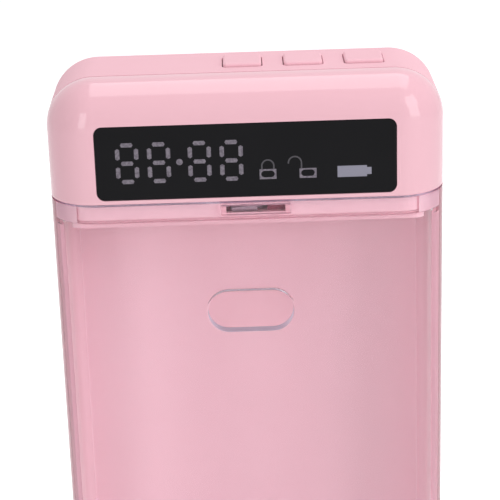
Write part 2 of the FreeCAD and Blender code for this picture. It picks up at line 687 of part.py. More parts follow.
def board_chips():
    """Controller, motor driver and connectors on the back of the main board."""
    left = WINDOW_X - MAIN_BOARD_WIDTH / 2
    right = WINDOW_X + MAIN_BOARD_WIDTH / 2
    controller = board_part(left + CONTROLLER_INSET, MAIN_BOARD_Z, CONTROLLER_SIZE, CONTROLLER_SIZE,
                            CONTROLLER_HEIGHT)
    driver = board_part(right - DRIVER_INSET, MAIN_BOARD_Z, DRIVER_WIDTH, DRIVER_LENGTH, DRIVER_HEIGHT)
    first = right - PLUG_INSET - PLUG_WIDTH / 2
    z = MAIN_BOARD_Z - PLUG_DROP
    plugs = [board_part(first - number * PLUG_PITCH, z, PLUG_WIDTH, PLUG_LENGTH, PLUG_HEIGHT)
             for number in range(2)]
    return group([controller, driver] + plugs)


def board_part(x, z, width, length, height):
    """One block on the back of the main board."""
    return box(x - width / 2, x + width / 2, MAIN_BOARD_BACK_Y, MAIN_BOARD_BACK_Y + height,
               z - length / 2, z + length / 2)


def key_board():
    """Flat board under the roof that carries the three switches."""
    reach = BUTTON_PITCH + SWITCH_SIZE / 2 + KEY_BOARD_OVERHANG
    board = plate_up(BUTTON_MIDDLE_X, BUTTON_Y, 2 * reach, KEY_BOARD_WIDTH, BOARD_CORNER,
                     KEY_BOARD_LOW_Z, KEY_BOARD_TOP_Z)
    holes = [upright(x, y, KEY_BOARD_LOW_Z - 1, KEY_BOARD_TOP_Z + 1, SMALL_SCREW_DIAMETER + 0.3)
             for x, y in key_post_places()]
    return board.cut(holes)


def switch_bodies():
    """The three tactile switches, each open at the top for its plunger."""
    switches = []
    for x in BUTTON_XS.values():
        body = plate_up(x, BUTTON_Y, SWITCH_SIZE, SWITCH_SIZE, 0.6, KEY_BOARD_TOP_Z, SWITCH_TOP_Z)
        well_z = SWITCH_TOP_Z - PLUNGER_SUNK - BUTTON_TRAVEL - MOVING_CLEARANCE
        well = upright(x, BUTTON_Y, well_z, SWITCH_TOP_Z + 1, PLUNGER_DIAMETER + 2 * SHAFT_CLEARANCE)
        switches.append(body.cut(well))
    return group(switches)


def battery():
    """Flat rechargeable cell with a folded top edge, standing in the tray at the back."""
    y_mid = BATTERY_BACK_Y - BATTERY_THICKNESS / 2
    z_low = TRAY_TOP_Z + BATTERY_CLEARANCE
    cell = plate_up(BATTERY_X, y_mid, BATTERY_LENGTH, BATTERY_THICKNESS, BATTERY_THICKNESS / 3,
                    z_low, z_low + BATTERY_HEIGHT)
    guard = box(BATTERY_LOW_X + BATTERY_GUARD_INSET, BATTERY_HIGH_X - BATTERY_GUARD_INSET,
                y_mid - BATTERY_GUARD_WIDTH / 2, y_mid + BATTERY_GUARD_WIDTH / 2,
                z_low + BATTERY_HEIGHT, z_low + BATTERY_HEIGHT + BATTERY_GUARD_HEIGHT)
    return cell.fuse(guard).removeSplitter()


def charge_levels():
    """Underside and top of the charging board, below its socket."""
    top = HEAD_Z + CHARGE_LIFT - SOCKET_HEIGHT / 2
    return top - BOARD_THICKNESS, top


def charge_board():
    """Small level board of the charging socket."""
    low, top = charge_levels()
    y_back = BACK - COVER_WALL - BATTERY_CLEARANCE
    return plate_up(CHARGE_X, y_back - CHARGE_BOARD_LENGTH / 2, CHARGE_BOARD_WIDTH, CHARGE_BOARD_LENGTH,
                    BOARD_CORNER, low, top)


def charge_socket():
    """Metal shell of the charging socket round its tongue."""
    z = HEAD_Z + CHARGE_LIFT
    y_mouth = BACK - SOCKET_CLEARANCE
    y_root = y_mouth - SOCKET_LENGTH
    wall = 2 * SOCKET_WALL
    shell = plate_facing(CHARGE_X, z, SOCKET_WIDTH, SOCKET_HEIGHT, SOCKET_HEIGHT / 2, y_root, y_mouth)
    hollow = plate_facing(CHARGE_X, z, SOCKET_WIDTH - wall, SOCKET_HEIGHT - wall,
                          SOCKET_HEIGHT / 2 - SOCKET_WALL, y_root + 1, y_mouth + 1)
    tongue = box(CHARGE_X - SOCKET_WIDTH / 3, CHARGE_X + SOCKET_WIDTH / 3, y_root + 1, y_mouth - 1,
                 z - SOCKET_WALL, z + SOCKET_WALL)
    return fuse([shell.cut(hollow), tongue])


# ---- Head: base tray ----------------------------------------------------------------------------

def case_screw_places():
    """The four screws that hold the covers down on the tray."""
    return [(x, y) for x in (-SCREW_X, SCREW_X) for y in (SCREW_FRONT_Y, SCREW_REAR_Y)]


def skirt_slot():
    """Slot in the skirt's front for the bolt."""
    return box(SLOT_X - SLOT_WIDTH / 2, SLOT_X + SLOT_WIDTH / 2, SKIRT_FRONT_Y - 1,
               SKIRT_FRONT_Y + SKIRT_WALL + 0.5, SLOT_TOP_Z - SLOT_HEIGHT, SLOT_TOP_Z)


def base_rim():
    """Straight rim under the tray, with wells for the heads of the case screws."""
    front, side, back = BASE_RIM_INSETS
    width, depth = WIDTH - 2 * side, DEPTH - front - back
    y = (front - back) / 2
    z_high = SKIRT_Z + TRAY_FLOOR / 2
    block = plate_up(0, y, width, depth, BASE_RIM_CORNER, BASE_RIM_Z, z_high)
    hollow = plate_up(0, y, width - 2 * BASE_RIM_WALL, depth - 2 * BASE_RIM_WALL,
                      BASE_RIM_CORNER - BASE_RIM_WALL, BASE_RIM_Z - 1, SKIRT_Z)
    well = SCREW_HEAD_DIAMETER + 2 * SCREW_CLEARANCE + 2 * BASE_RIM_WALL
    wells = [upright(x, y_screw, BASE_RIM_Z, z_high, well).common(block)
             for x, y_screw in case_screw_places()]
    return fuse([block.cut(hollow)] + wells)


def base_tray():
    """Floor of the head: skirt, flange under the covers, rim, screw posts and supports."""
    rim_z = HEAD_Z + FLANGE_THICKNESS
    skirt = plan_block(SKIRT_INSETS, SKIRT_Z, rim_z)
    low_edges = [edge for edge in skirt.Edges
                 if all(abs(vertex.Z - SKIRT_Z) < 1e-6 for vertex in edge.Vertexes)]
    skirt = skirt.makeChamfer(SKIRT_BEVEL, low_edges)
    flange_insets = tuple(wall + FLANGE_CLEARANCE for wall in COVER_INSETS)
    flange = plan_block(flange_insets, HEAD_Z + FLANGE_CLEARANCE, rim_z)
    hollow_insets = tuple(inset + SKIRT_WALL for inset in SKIRT_INSETS)
    hollow = plan_block(hollow_insets, TRAY_TOP_Z, rim_z + 1)
    posts = [upright(x, y, TRAY_TOP_Z - ROOT_DEPTH, POST_TOP_Z, BOSS_DIAMETER)
             for x, y in case_screw_places()]
    posts += charge_posts()
    holes = [skirt_slot(), shaft_socket()]
    for x, y in case_screw_places():
        head_z = SKIRT_Z + SCREW_HEAD_HEIGHT + SCREW_CLEARANCE
        holes.append(upright(x, y, BASE_RIM_Z - 1, head_z, SCREW_HEAD_DIAMETER + 2 * SCREW_CLEARANCE))
        holes.append(upright(x, y, SKIRT_Z - 1, POST_TOP_Z + 1, SCREW_DIAMETER + 2 * SCREW_CLEARANCE))
    supports = [base_rim()] + posts + battery_ribs()
    return fuse([fuse([skirt, flange]).cut(hollow)] + supports).cut(holes)


def charge_posts():
    """Two posts under the charging board."""
    low, _ = charge_levels()
    y = BACK - COVER_WALL - CHARGE_BOARD_LENGTH / 2
    reach = CHARGE_BOARD_WIDTH / 2 - CHARGE_POST_INSET
    return [upright(CHARGE_X + side * reach, y, TRAY_TOP_Z - ROOT_DEPTH, low, CHARGE_POST_DIAMETER)
            for side in (-1, 1)]


def battery_ribs():
    """Two ribs that keep the battery against the back."""
    y_front = BATTERY_BACK_Y - BATTERY_CLEARANCE - BATTERY_THICKNESS
    half = RIB_THICKNESS / 2
    z_low, z_high = TRAY_TOP_Z - ROOT_DEPTH, TRAY_TOP_Z + RIB_HEIGHT
    return [box(x - half, x + half, y_front - RIB_THICKNESS, y_front, z_low, z_high)
            for x in (BATTERY_X - BATTERY_LENGTH / 4, BATTERY_X + BATTERY_LENGTH / 4)]


def case_screws():
    """Four pan-head screws from under the tray into the covers' bosses."""
    screws = []
    for x, y in case_screw_places():
        z = SKIRT_Z + SCREW_HEAD_HEIGHT
        head = upright(x, y, SKIRT_Z, z, SCREW_HEAD_DIAMETER)
        slot = [box(x - 1.4, x + 1.4, y - 0.3, y + 0.3, SKIRT_Z - 1, SKIRT_Z + 0.8),
                box(x - 0.3, x + 0.3, y - 1.4, y + 1.4, SKIRT_Z - 1, SKIRT_Z + 0.8)]
        shank = upright(x, y, z, z + SCREW_LENGTH, SCREW_DIAMETER - 0.1)
        screws.append(head.fuse(shank).removeSplitter().cut(slot))
    return group(screws)


# ---- Head: lock ---------------------------------------------------------------------------------

def rack_outline():
    """Corner points of the rack's teeth along the bolt's side, from front to back."""
    slope = math.tan(math.radians(PRESSURE_ANGLE))
    half_tooth = PITCH / 4 - GEAR_BACKLASH / 2
    points = []
    for number in range(RACK_TEETH):
        centre = PINION_Y + (number - (RACK_TEETH - 1) / 2) * PITCH + PITCH / 2
        root = half_tooth + RACK_DEDENDUM * slope
        tip = half_tooth - RACK_ADDENDUM * slope
        points.append((RACK_LINE_X - RACK_DEDENDUM, centre - root))
        points.append((RACK_LINE_X + RACK_ADDENDUM, centre - tip))
        points.append((RACK_LINE_X + RACK_ADDENDUM, centre + tip))
        points.append((RACK_LINE_X - RACK_DEDENDUM, centre + root))
    return points


def tongue_cuts():
    """Cutters for the bolt's tongue: the shoulder at its right, and its sloping top."""
    left = BOLT_X - BOLT_WIDTH / 2
    right = left + TONGUE_WIDTH
    y_low, y_high = BOLT_TIP_Y - 1, BOLT_TIP_Y + TONGUE_LENGTH
    shoulder = box(right, BOLT_X + BOLT_WIDTH, y_low, y_high, BOLT_LOW_Z - 1, BOLT_TOP_Z + 1)
    fall = TONGUE_SLOPE / TONGUE_WIDTH
    z_left = BOLT_TOP_Z - TONGUE_SLOPE - fall
    points = [vec(left - 1, y_low, z_left), vec(right + 1, y_low, BOLT_TOP_Z + fall),
              vec(left - 1, y_low, BOLT_TOP_Z + 1)]
    slope = Part.Face(Part.makePolygon(points + [points[0]])).extrude(vec(0, y_high - y_low, 0))
    return [shoulder, slope]


def latch_bolt():
    """Sliding bolt: bevelled tongue in front, rack along its right side."""
    left = BOLT_X - BOLT_WIDTH / 2
    right = BOLT_X + BOLT_WIDTH / 2
    back = BOLT_TIP_Y + BOLT_LENGTH
    outline = [(left, back), (left, BOLT_TIP_Y), (right, BOLT_TIP_Y)] + rack_outline() + [(right, back)]
    points = [vec(x, y, BOLT_LOW_Z) for x, y in outline]
    bolt = Part.Face(Part.makePolygon(points + [points[0]])).extrude(vec(0, 0, BOLT_TOP_Z - BOLT_LOW_Z))
    tip = [edge for edge in bolt.Edges
           if all(abs(vertex.Y - BOLT_TIP_Y) < 1e-6 and abs(vertex.Z - BOLT_LOW_Z) < 1e-6
                  for vertex in edge.Vertexes)]
    return bolt.makeChamfer(BOLT_TIP_BEVEL, tip).cut(tongue_cuts())


def involute_tooth(base, outer, half_angle):
    """Polar points up one flank of a tooth, as (radius, angle from the tooth's middle)."""
    pitch_roll = math.tan(math.radians(PRESSURE_ANGLE)) - math.radians(PRESSURE_ANGLE)
    points = []
    for step in range(5):
        radius = base + (outer - base) * step / 4
        pressure = math.acos(min(1.0, base / radius))
        angle = half_angle + pitch_roll - (math.tan(pressure) - pressure)
        points.append((radius, angle))
    return points


def drive_pinion():
    """Toothed wheel that drives the rack, with a tooth space facing it at rest."""
    base = PINION_RADIUS * math.cos(math.radians(PRESSURE_ANGLE))
    outer = PINION_RADIUS + PINION_ADDENDUM
    root = PINION_RADIUS - PINION_DEDENDUM
    half_angle = (PITCH / 4 - GEAR_BACKLASH / 2) / PINION_RADIUS
    flank = involute_tooth(base, outer, half_angle)
    flank = [(root, flank[0][1])] + flank
    outline = []
    for number in range(PINION_TEETH):
        middle = math.pi + (number + 0.5) * 2 * math.pi / PINION_TEETH
        tooth = [(radius, middle - angle) for radius, angle in flank]
        tooth += [(radius, middle + angle) for radius, angle in reversed(flank)]
        outline += [vec(PINION_X + radius * math.cos(angle), PINION_Y + radius * math.sin(angle), BOLT_LOW_Z)
                    for radius, angle in tooth]
    wheel = Part.Face(Part.makePolygon(outline + [outline[0]])).extrude(vec(0, 0, BOLT_TOP_Z - BOLT_LOW_Z))
    return wheel.cut(upright(PINION_X, PINION_Y, BOLT_LOW_Z - 1, BOLT_TOP_Z + 1, SHAFT_DIAMETER))


def shaft_levels():
    """Lower and upper end of the pinion's shaft."""
    return SKIRT_Z + TRAY_FLOOR / 2 + SHAFT_CLEARANCE, MOTOR_Z + 1.6


def shaft_socket():
    """Blind bearing in the tray for the shaft's foot."""
    return upright(PINION_X, PINION_Y, SKIRT_Z + TRAY_FLOOR / 2, TRAY_TOP_Z + 1,
                   SHAFT_DIAMETER + 2 * SHAFT_CLEARANCE)


def pinion_shaft():
    """Steel shaft from the gearbox down through the pinion."""
    low, high = shaft_levels()
    return upright(PINION_X, PINION_Y, low, high, SHAFT_DIAMETER)


def lock_housing():
    """Moulded cover that guides the bolt, shrouds the pinion and carries the motor."""
    bolt_left = BOLT_X - BOLT_WIDTH / 2 - MOVING_CLEARANCE
    bolt_right = BOLT_X + BOLT_WIDTH / 2 + RACK_DEDENDUM + RACK_ADDENDUM + MOVING_CLEARANCE
    well = 2 * (PINION_RADIUS + PINION_ADDENDUM + MOVING_CLEARANCE)
    x_high = PINION_X + well / 2 + HOUSING_WALL
    y_low = SKIRT_FRONT_Y + SKIRT_WALL + MOVING_CLEARANCE
    y_high = BOLT_TIP_Y + BOLT_LENGTH + HOUSING_WALL + MOVING_CLEARANCE
    body = plate_up((HOUSING_LOW_X + x_high) / 2, (y_low + y_high) / 2, x_high - HOUSING_LOW_X,
                    y_high - y_low, HOUSING_CORNER, TRAY_TOP_Z, MOTOR_Z)
    channel = box(bolt_left, bolt_right, y_low - 1, BOLT_TIP_Y + BOLT_LENGTH + MOVING_CLEARANCE,
                  TRAY_TOP_Z - 1, HOUSING_Z)
    pinion_well = upright(PINION_X, PINION_Y, TRAY_TOP_Z - 1, HOUSING_Z, well)
    shaft_hole = upright(PINION_X, PINION_Y, TRAY_TOP_Z, MOTOR_Z + 1, SHAFT_DIAMETER + 2 * SHAFT_CLEARANCE)
    return body.cut([channel, pinion_well, shaft_hole])


def gearbox():
    """Motor's gearbox: end plates, pillars and the last wheel, bored for the shaft."""
    z_low, z_high = MOTOR_Z, MOTOR_Z + GEARBOX_HEIGHT
    plates = [plate_up(PINION_X, PINION_Y, MOTOR_WIDTH, MOTOR_DEPTH, 0.8, z, z + GEARBOX_PLATE)
              for z in (z_low, z_high - GEARBOX_PLATE)]
    reach_x = MOTOR_WIDTH / 2 - 1.2
    reach_y = MOTOR_DEPTH / 2 - 1.2
    pillars = [upright(PINION_X + side * reach_x, PINION_Y + side * reach_y, z_low, z_high, 1.6)
               for side in (-1, 1)]
    wheel = upright(PINION_X, PINION_Y, z_low, z_high, MOTOR_DEPTH * 0.7)
    bore = upright(PINION_X, PINION_Y, z_low - 1, shaft_levels()[1] + SHAFT_CLEARANCE,
                   SHAFT_DIAMETER + 2 * SHAFT_CLEARANCE)
    return fuse(plates + pillars + [wheel]).cut(bore)


def lock_motor():
    """Motor can on the gearbox: round, with two flats, and its end cap."""
    z_low = MOTOR_Z + GEARBOX_HEIGHT
    can = upright(PINION_X, PINION_Y, z_low, z_low + MOTOR_HEIGHT, MOTOR_WIDTH)
    can = can.common(box(-FAR, FAR, PINION_Y - MOTOR_DEPTH / 2, PINION_Y + MOTOR_DEPTH / 2, z_low, TOP_Z))
    cap = upright(PINION_X, PINION_Y, z_low + MOTOR_HEIGHT, z_low + MOTOR_HEIGHT + 0.8, MOTOR_DEPTH / 2)
    return can.fuse(cap).removeSplitter()


# ---- Buttons ------------------------------------------------------------------------------------

def button(x):
    """One button: crowned cap, retaining flange and stem."""
    top_z = TOP_Z + BUTTON_PROUD
    cap = plate_up(x, BUTTON_Y, BUTTON_SIZE, BUTTON_SIZE, BUTTON_CORNER, FLANGE_TOP_Z, top_z)
    crown = [edge for edge in cap.Edges if all(abs(vertex.Z - top_z) < 1e-6 for vertex in edge.Vertexes)]
    cap = cap.makeFillet(min(BUTTON_CROWN, BUTTON_CORNER - 0.1), crown)
    flange_size = BUTTON_SIZE + 2 * BUTTON_FLANGE
    flange_low = FLANGE_TOP_Z - BUTTON_FLANGE_THICKNESS
    flange = plate_up(x, BUTTON_Y, flange_size, flange_size, BUTTON_CORNER, flange_low, FLANGE_TOP_Z)
    stem = upright(x, BUTTON_Y, STEM_LOW_Z, FLANGE_TOP_Z, STEM_DIAMETER)
    return fuse([cap, flange, stem])


def switch_plunger(x):
    """Plunger of one switch, under the button's stem."""
    return upright(x, BUTTON_Y, SWITCH_TOP_Z - PLUNGER_SUNK, STEM_LOW_Z, PLUNGER_DIAMETER)


# ---- Export -------------------------------------------------------------------------------------

def all_nodes():
    """Every node's name and shape."""
    nodes = {
        "clear_front_shell": clear_front_shell(),
        "rear_shell": rear_shell(),
        "rubber_feet": rubber_feet(),
        "front_cover": front_cover(),
        "rear_cover": rear_cover(),
        "base_tray": base_tray(),
        "case_screws": case_screws(),
        "display_window": display_window(),
        "led_display": led_display(),
        "main_board": main_board(),
        "board_screws": board_screws(),
        "board_chips": board_chips(),
        "buzzer": buzzer(),
        "key_board": key_board(),
        "switch_bodies": switch_bodies(),
        "battery": battery(),
        "charge_board": charge_board(),
        "charge_socket": charge_socket(),
        "lock_housing": lock_housing(),
        "gearbox": gearbox(),
        "lock_motor": lock_motor(),
        "latch_bolt": latch_bolt(),
        "drive_pinion": drive_pinion(),
        "pinion_shaft": pinion_shaft(),
    }
    for side, x in BUTTON_XS.items():
        nodes[side + "_button"] = button(x)
        nodes[side + "_switch_plunger"] = switch_plunger(x)
    return nodes


def main():
    """Writes one STEP file for each node and prints its size."""
    os.makedirs("parts", exist_ok=True)
    for name, shape in all_nodes().items():
        if not shape.isValid():
            print("not valid:", name)
        shape.exportStep("parts/" + name + ".step")
        bounds = shape.BoundBox
        print("%-22s solids %d volume %9.1f  x %.2f..%.2f  y %.2f..%.2f  z %.2f..%.2f" % (
            name, len(shape.Solids), shape.Volume, bounds.XMin, bounds.XMax,
            bounds.YMin, bounds.YMax, bounds.ZMin, bounds.ZMax))


main()
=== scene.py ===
"""Looks of the timed lock container: finishes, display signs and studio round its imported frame."""

from __future__ import annotations

import logging
import math
from abc import ABC, abstractmethod
from dataclasses import dataclass, field
from enum import Enum
from typing import Any, Callable, Optional, Sequence, Union

import bmesh
import bpy
from bpy.types import ID, Material, Node, NodeSocket, NodeTree, Object
from mathutils import Matrix, Vector


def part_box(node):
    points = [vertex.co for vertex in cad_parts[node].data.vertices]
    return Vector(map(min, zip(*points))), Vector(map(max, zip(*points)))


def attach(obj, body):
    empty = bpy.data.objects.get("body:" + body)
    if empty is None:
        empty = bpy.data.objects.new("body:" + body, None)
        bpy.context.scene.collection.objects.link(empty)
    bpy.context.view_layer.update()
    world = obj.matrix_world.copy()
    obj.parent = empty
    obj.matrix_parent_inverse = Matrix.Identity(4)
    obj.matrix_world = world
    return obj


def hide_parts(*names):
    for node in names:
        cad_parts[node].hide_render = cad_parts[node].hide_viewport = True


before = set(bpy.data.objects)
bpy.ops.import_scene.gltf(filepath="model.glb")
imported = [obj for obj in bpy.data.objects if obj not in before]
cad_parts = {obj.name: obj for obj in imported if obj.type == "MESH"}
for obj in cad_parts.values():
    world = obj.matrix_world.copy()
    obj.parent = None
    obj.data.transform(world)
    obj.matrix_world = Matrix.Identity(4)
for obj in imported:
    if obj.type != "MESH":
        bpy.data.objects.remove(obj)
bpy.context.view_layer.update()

Colour = tuple[float, float, float]
Place = tuple[float, float, float]
Point = tuple[float, float]
Number = Union[float, "Value"]
Inputs = dict[str, Any]

MM = 0.001
LOG = logging.getLogger("timed_lock_container")

# Angles, in radians.
SHARP_EDGE = math.radians(30.0)
FLAT_EDGE = math.radians(0.5)
QUARTER_TURN = math.pi / 2
UPRIGHT = (QUARTER_TURN, 0.0, 0.0)

# Distances under which points are one point and edges are slivers, in metres.
WELD = 1e-6
SLIVER = 1e-7

# How squarely a face looks in a direction.
STRAIGHT = 0.9
MOSTLY = 0.5
PARTLY = 0.3
BARELY = 0.1


# ---- Node trees ----


def math_operator(operation: str, reflected: bool = False) -> Callable[[Value, Number], Value]:
    """Makes an operator of values that adds a Math node.

    Args:
        operation: What the node does.
        reflected: Whether the other number comes first.

    Returns:
        The operator.
    """

    def operator(value: Value, other: Number) -> Value:
        """The node's result on a value and another number."""
        first, second = (other, value) if reflected else (value, other)
        return value.graph.maths(operation, first, second)

    return operator


class Value:
    """A number on a node tree. Python expressions on it add the tree's Math nodes."""

    def __init__(self, graph: Graph, socket: NodeSocket) -> None:
        """Keeps the tree and the socket that carries the number."""
        self.graph = graph
        self.socket = socket

    __add__ = math_operator("ADD")
    __radd__ = math_operator("ADD", reflected=True)
    __sub__ = math_operator("SUBTRACT")
    __rsub__ = math_operator("SUBTRACT", reflected=True)
    __mul__ = math_operator("MULTIPLY")
    __rmul__ = math_operator("MULTIPLY", reflected=True)
    __truediv__ = math_operator("DIVIDE")
    __rtruediv__ = math_operator("DIVIDE", reflected=True)
    largest = math_operator("MAXIMUM")
    smallest = math_operator("MINIMUM")

    def above(self, edge: float, blur: float) -> Value:
        """A mask that rises smoothly from 0, at blur below the edge, to 1, at blur above it."""
        values = {"Value": self, "From Min": edge - blur, "From Max": edge + blur}
        return self.graph.node("ShaderNodeMapRange", {"interpolation_type": "SMOOTHSTEP"}, values)["Result"]


class Made:
    """A node that has been made, for reaching its outputs."""

    def __init__(self, graph: Graph, node: Node) -> None:
        """Keeps the tree and the node."""
        self.graph = graph
        self.node = node

    def __getitem__(self, name: str) -> Value:
        """The output of that name, as a value."""
        return Value(self.graph, next(s for s in self.node.outputs if s.name == name and s.enabled))


@dataclass(frozen=True)
class Pattern:
    """Cloudy noise on the object, or the mask that it makes where it has a blur.

    Attributes:
        scale: Patches to the metre.
        detail: How many finer layers it has.
        roughness: How strong those are.
        stretch: How much it is drawn together along each axis.
        edge: The noise at the middle of the mask's rise.
        blur: Half the width of that rise.
    """

    scale: float
    detail: float = 2.0
    roughness: float = 0.5
    stretch: Place = (1.0, 1.0, 1.0)
    edge: float = 0.5
    blur: float = 0.0


class Graph:
    """A node tree that is being built."""

    def __init__(self, tree: NodeTree) -> None:
        """Starts on an empty tree."""
        self.tree = tree
        tree.nodes.clear()

    def node(
        self,
        kind: str,
        settings: Optional[dict[str, Any]] = None,
        values: Optional[dict[Union[str, int], Any]] = None,
    ) -> Made:
        """Adds one node.

        Args:
            kind: The node's type.
            settings: Its settings, which are set first.
            values: The numbers or links of its inputs, by name or number.

        Returns:
            The node.
        """
        node = self.tree.nodes.new(kind)
        for name, setting in (settings or {}).items():
            setattr(node, name, setting)
        for name, value in (values or {}).items():
            self._set_input(node, name, value)
        return Made(self, node)

    def _set_input(self, node: Node, name: Union[str, int], value: Any) -> None:
        """Sets or links one input.

        Args:
            node: The node.
            name: The input's name or number.
            value: A number, a colour, a thing of Blender's, or a value to link.
        """
        if isinstance(name, int):
            socket = node.inputs[name]
        else:
            socket = next(s for s in node.inputs if s.name == name and s.enabled)
        if isinstance(value, Value):
            self.tree.links.new(value.socket, socket)
        elif socket.type == "RGBA" and len(value) == 3:
            socket.default_value = (*value, 1.0)
        else:
            socket.default_value = value

    def maths(self, operation: str, first: Number, second: Number) -> Value:
        """The result of a Math node on two numbers."""
        return self.node("ShaderNodeMath", {"operation": operation}, {0: first, 1: second})["Value"]

    def blend(self, share: Number, first: Any, second: Any) -> Value:
        """The first colour with a share, 0 to 1, of the second one. Either may be a link."""
        values = {"Factor": share, "A": first, "B": second}
        return self.node("ShaderNodeMix", {"data_type": "RGBA"}, values)["Result"]

    def looked_at(self) -> Value:
        """Tells what is looked at from what only lights.

        Returns:
            1 for what is looked at, also in a reflection or through clear plastic, and 0 as a light.
        """
        path = self.node("ShaderNodeLightPath")
        seen = path["Is Camera Ray"].largest(path["Is Glossy Ray"]).largest(path["Is Transmission Ray"])
        return seen * (1.0 - path["Diffuse Depth"].smallest(1.0))

    def place(self, stretch: Place = (1.0, 1.0, 1.0)) -> Value:
        """Where a point lies on the object, in metres times the stretch."""
        coordinates = self.node("ShaderNodeTexCoord")["Object"]
        return self.node("ShaderNodeMapping", {}, {"Vector": coordinates, "Scale": stretch})["Vector"]

    def parts(self, vector: Value) -> tuple[Value, Value, Value]:
        """The x, y and z of a vector."""
        made = self.node("ShaderNodeSeparateXYZ", {}, {"Vector": vector})
        return made["X"], made["Y"], made["Z"]

    def noise(self, pattern: Pattern) -> Value:
        """Adds a pattern.

        Args:
            pattern: The pattern.

        Returns:
            Its noise, about 0.5, or its mask.
        """
        values = {
            "Vector": self.place(pattern.stretch),
            "Scale": pattern.scale,
            "Detail": pattern.detail,
            "Roughness": pattern.roughness,
        }
        noise = self.node("ShaderNodeTexNoise", {}, values)["Fac"]
        return noise.above(pattern.edge, pattern.blur) if pattern.blur > 0 else noise

    def cells(self, scale: float, randomness: float = 1.0) -> Value:
        """How far a point lies from the nearest of scattered dots, so many to the metre."""
        values = {"Vector": self.place(), "Scale": scale, "Randomness": randomness}
        return self.node("ShaderNodeTexVoronoi", {}, values)["Distance"]

    def relief(self, height: Value, depth: float) -> Value:
        """The normal of a surface with a relief of 0 to 1 that is so many metres deep."""
        values = {"Strength": 1.0, "Distance": depth, "Height": height}
        return self.node("ShaderNodeBump", {}, values)["Normal"]

    def open_to_lamps(self, shader: Value, shade_tint: Colour) -> Value:
        """Lets the lamps' light through a shader.

        Args:
            shader: The shader.
            shade_tint: The colour of what passes.

        Returns:
            The shader that casts only a tinted shadow.
        """
        clear = self.node("ShaderNodeBsdfTransparent", {}, {"Color": shade_tint})["BSDF"]
        ray = self.node("ShaderNodeLightPath")["Is Shadow Ray"]
        return self.node("ShaderNodeMixShader", {}, {0: ray, 1: shader, 2: clear})["Shader"]

    def turned(self, shape: Value, turn: Place) -> Value:
        """Geometry that is turned about the axes, in radians."""
        return self.node("GeometryNodeTransform", {}, {"Geometry": shape, "Rotation": turn})["Geometry"]

    def repeated(self, points: Value, shape: Value) -> Value:
        """Geometry that is laid on each point."""
        values = {"Points": points, "Instance": shape}
        return self.node("GeometryNodeInstanceOnPoints", {}, values)["Instances"]


# ---- Finishes ----


@dataclass(frozen=True)
class Finish(ABC):
    """The finish of one kind of surface."""

    @abstractmethod
    def inputs(self, graph: Graph) -> Inputs:
        """Adds the finish's nodes.

        Args:
            graph: The tree.

        Returns:
            The shader's inputs.
        """

    def surface(self, graph: Graph) -> Value:
        """The shader, with its inputs."""
        return graph.node("ShaderNodeBsdfPrincipled", {}, self.inputs(graph))["BSDF"]

    def material(self, title: str) -> Material:
        """Makes the material.

        Args:
            title: Its name.

        Returns:
            The material.
        """
        made = bpy.data.materials.new(title)
        made.use_nodes = True
        graph = Graph(made.node_tree)
        graph.node("ShaderNodeOutputMaterial", {}, {"Surface": self.surface(graph)})
        return made


@dataclass(frozen=True)
class MouldedPlastic(Finish):
    """Glossy injection-moulded plastic: a faint flow in its colour, a faint peel and fine rubs."""

    colour: Colour
    flow_colour: Colour
    roughness: float = 0.12
    rub: float = 0.05
    peel_depth: float = 3e-6
    grain_depth: float = 0.0
    shine: float = 0.5
    rubs: Pattern = Pattern(210.0, 5.0, 0.65, (1.0, 1.0, 9.0), 0.56, 0.12)
    peel: Pattern = Pattern(260.0)
    grain: Pattern = Pattern(3600.0, 3.0, 0.6)
    flow: Pattern = Pattern(38.0, 3.0, 0.55, (1.0, 1.0, 0.45), 0.5, 0.25)
    specks: Pattern = Pattern(5200.0, 2.0, 0.7, edge=0.62, blur=0.1)

    def inputs(self, graph: Graph) -> Inputs:
        """Adds the plastic's nodes.

        Args:
            graph: The tree.

        Returns:
            The shader's inputs.
        """
        height = graph.noise(self.peel)
        depth = self.peel_depth
        if self.grain_depth > 0:
            height = graph.noise(self.grain) + height * (self.peel_depth / self.grain_depth)
            depth = self.grain_depth
        return {
            "Base Color": self.tone(graph),
            "Roughness": self.roughness + graph.noise(self.rubs) * self.rub,
            "Specular IOR Level": self.shine,
            "Normal": graph.relief(height, depth),
        }

    def tone(self, graph: Graph) -> Value:
        """The colour, with its flow and specks."""
        tint = graph.noise(self.flow) * 0.8 + graph.noise(self.specks) * 0.2
        return graph.blend(tint, self.colour, self.flow_colour)


@dataclass(frozen=True)
class ShadedWall(MouldedPlastic):
    """Moulded wall with painted light and shade towards the box's sides, where its colour changes to the
    side colour.
    """

    painted_side_shading: Colour = (1.0, 1.0, 1.0)
    middle_width: float = 0.02
    side_width: float = 0.088

    def tone(self, graph: Graph) -> Value:
        """Adds the nodes of the colour.

        Args:
            graph: The tree.

        Returns:
            The colour.
        """
        x, _, _ = graph.parts(graph.place())
        reach = (self.side_width + self.middle_width) / 4
        # Painted light and shade: towards the box's sides the colour turns to the side shading colour.
        share = x.largest(x * -1.0).above(reach, self.side_width / 2 - reach)
        return graph.blend(share, super().tone(graph), self.painted_side_shading)


@dataclass(frozen=True)
class FrontShadedWall(ShadedWall):
    """Shaded wall that also darkens towards the front, a painted shade where it meets the clear shell."""

    painted_front_shade: Colour = (1.0, 1.0, 1.0)
    fade: float = 0.006

    def tone(self, graph: Graph) -> Value:
        """The colour, with the painted shade towards the front."""
        _, y, _ = graph.parts(graph.place())
        return graph.blend((y * -1.0).above(0.0, self.fade), super().tone(graph), self.painted_front_shade)


@dataclass(frozen=True)
class PaintedSeeThroughPlastic(ShadedWall):
    """Clear plastic where it lies on the coloured part behind it, painted with that part's lit colour as a
    painted view through it, with painted shading towards the sides.
    """

    def surface(self, graph: Graph) -> Value:
        """The shader, open to the lamps."""
        return graph.open_to_lamps(super().surface(graph), self.colour)


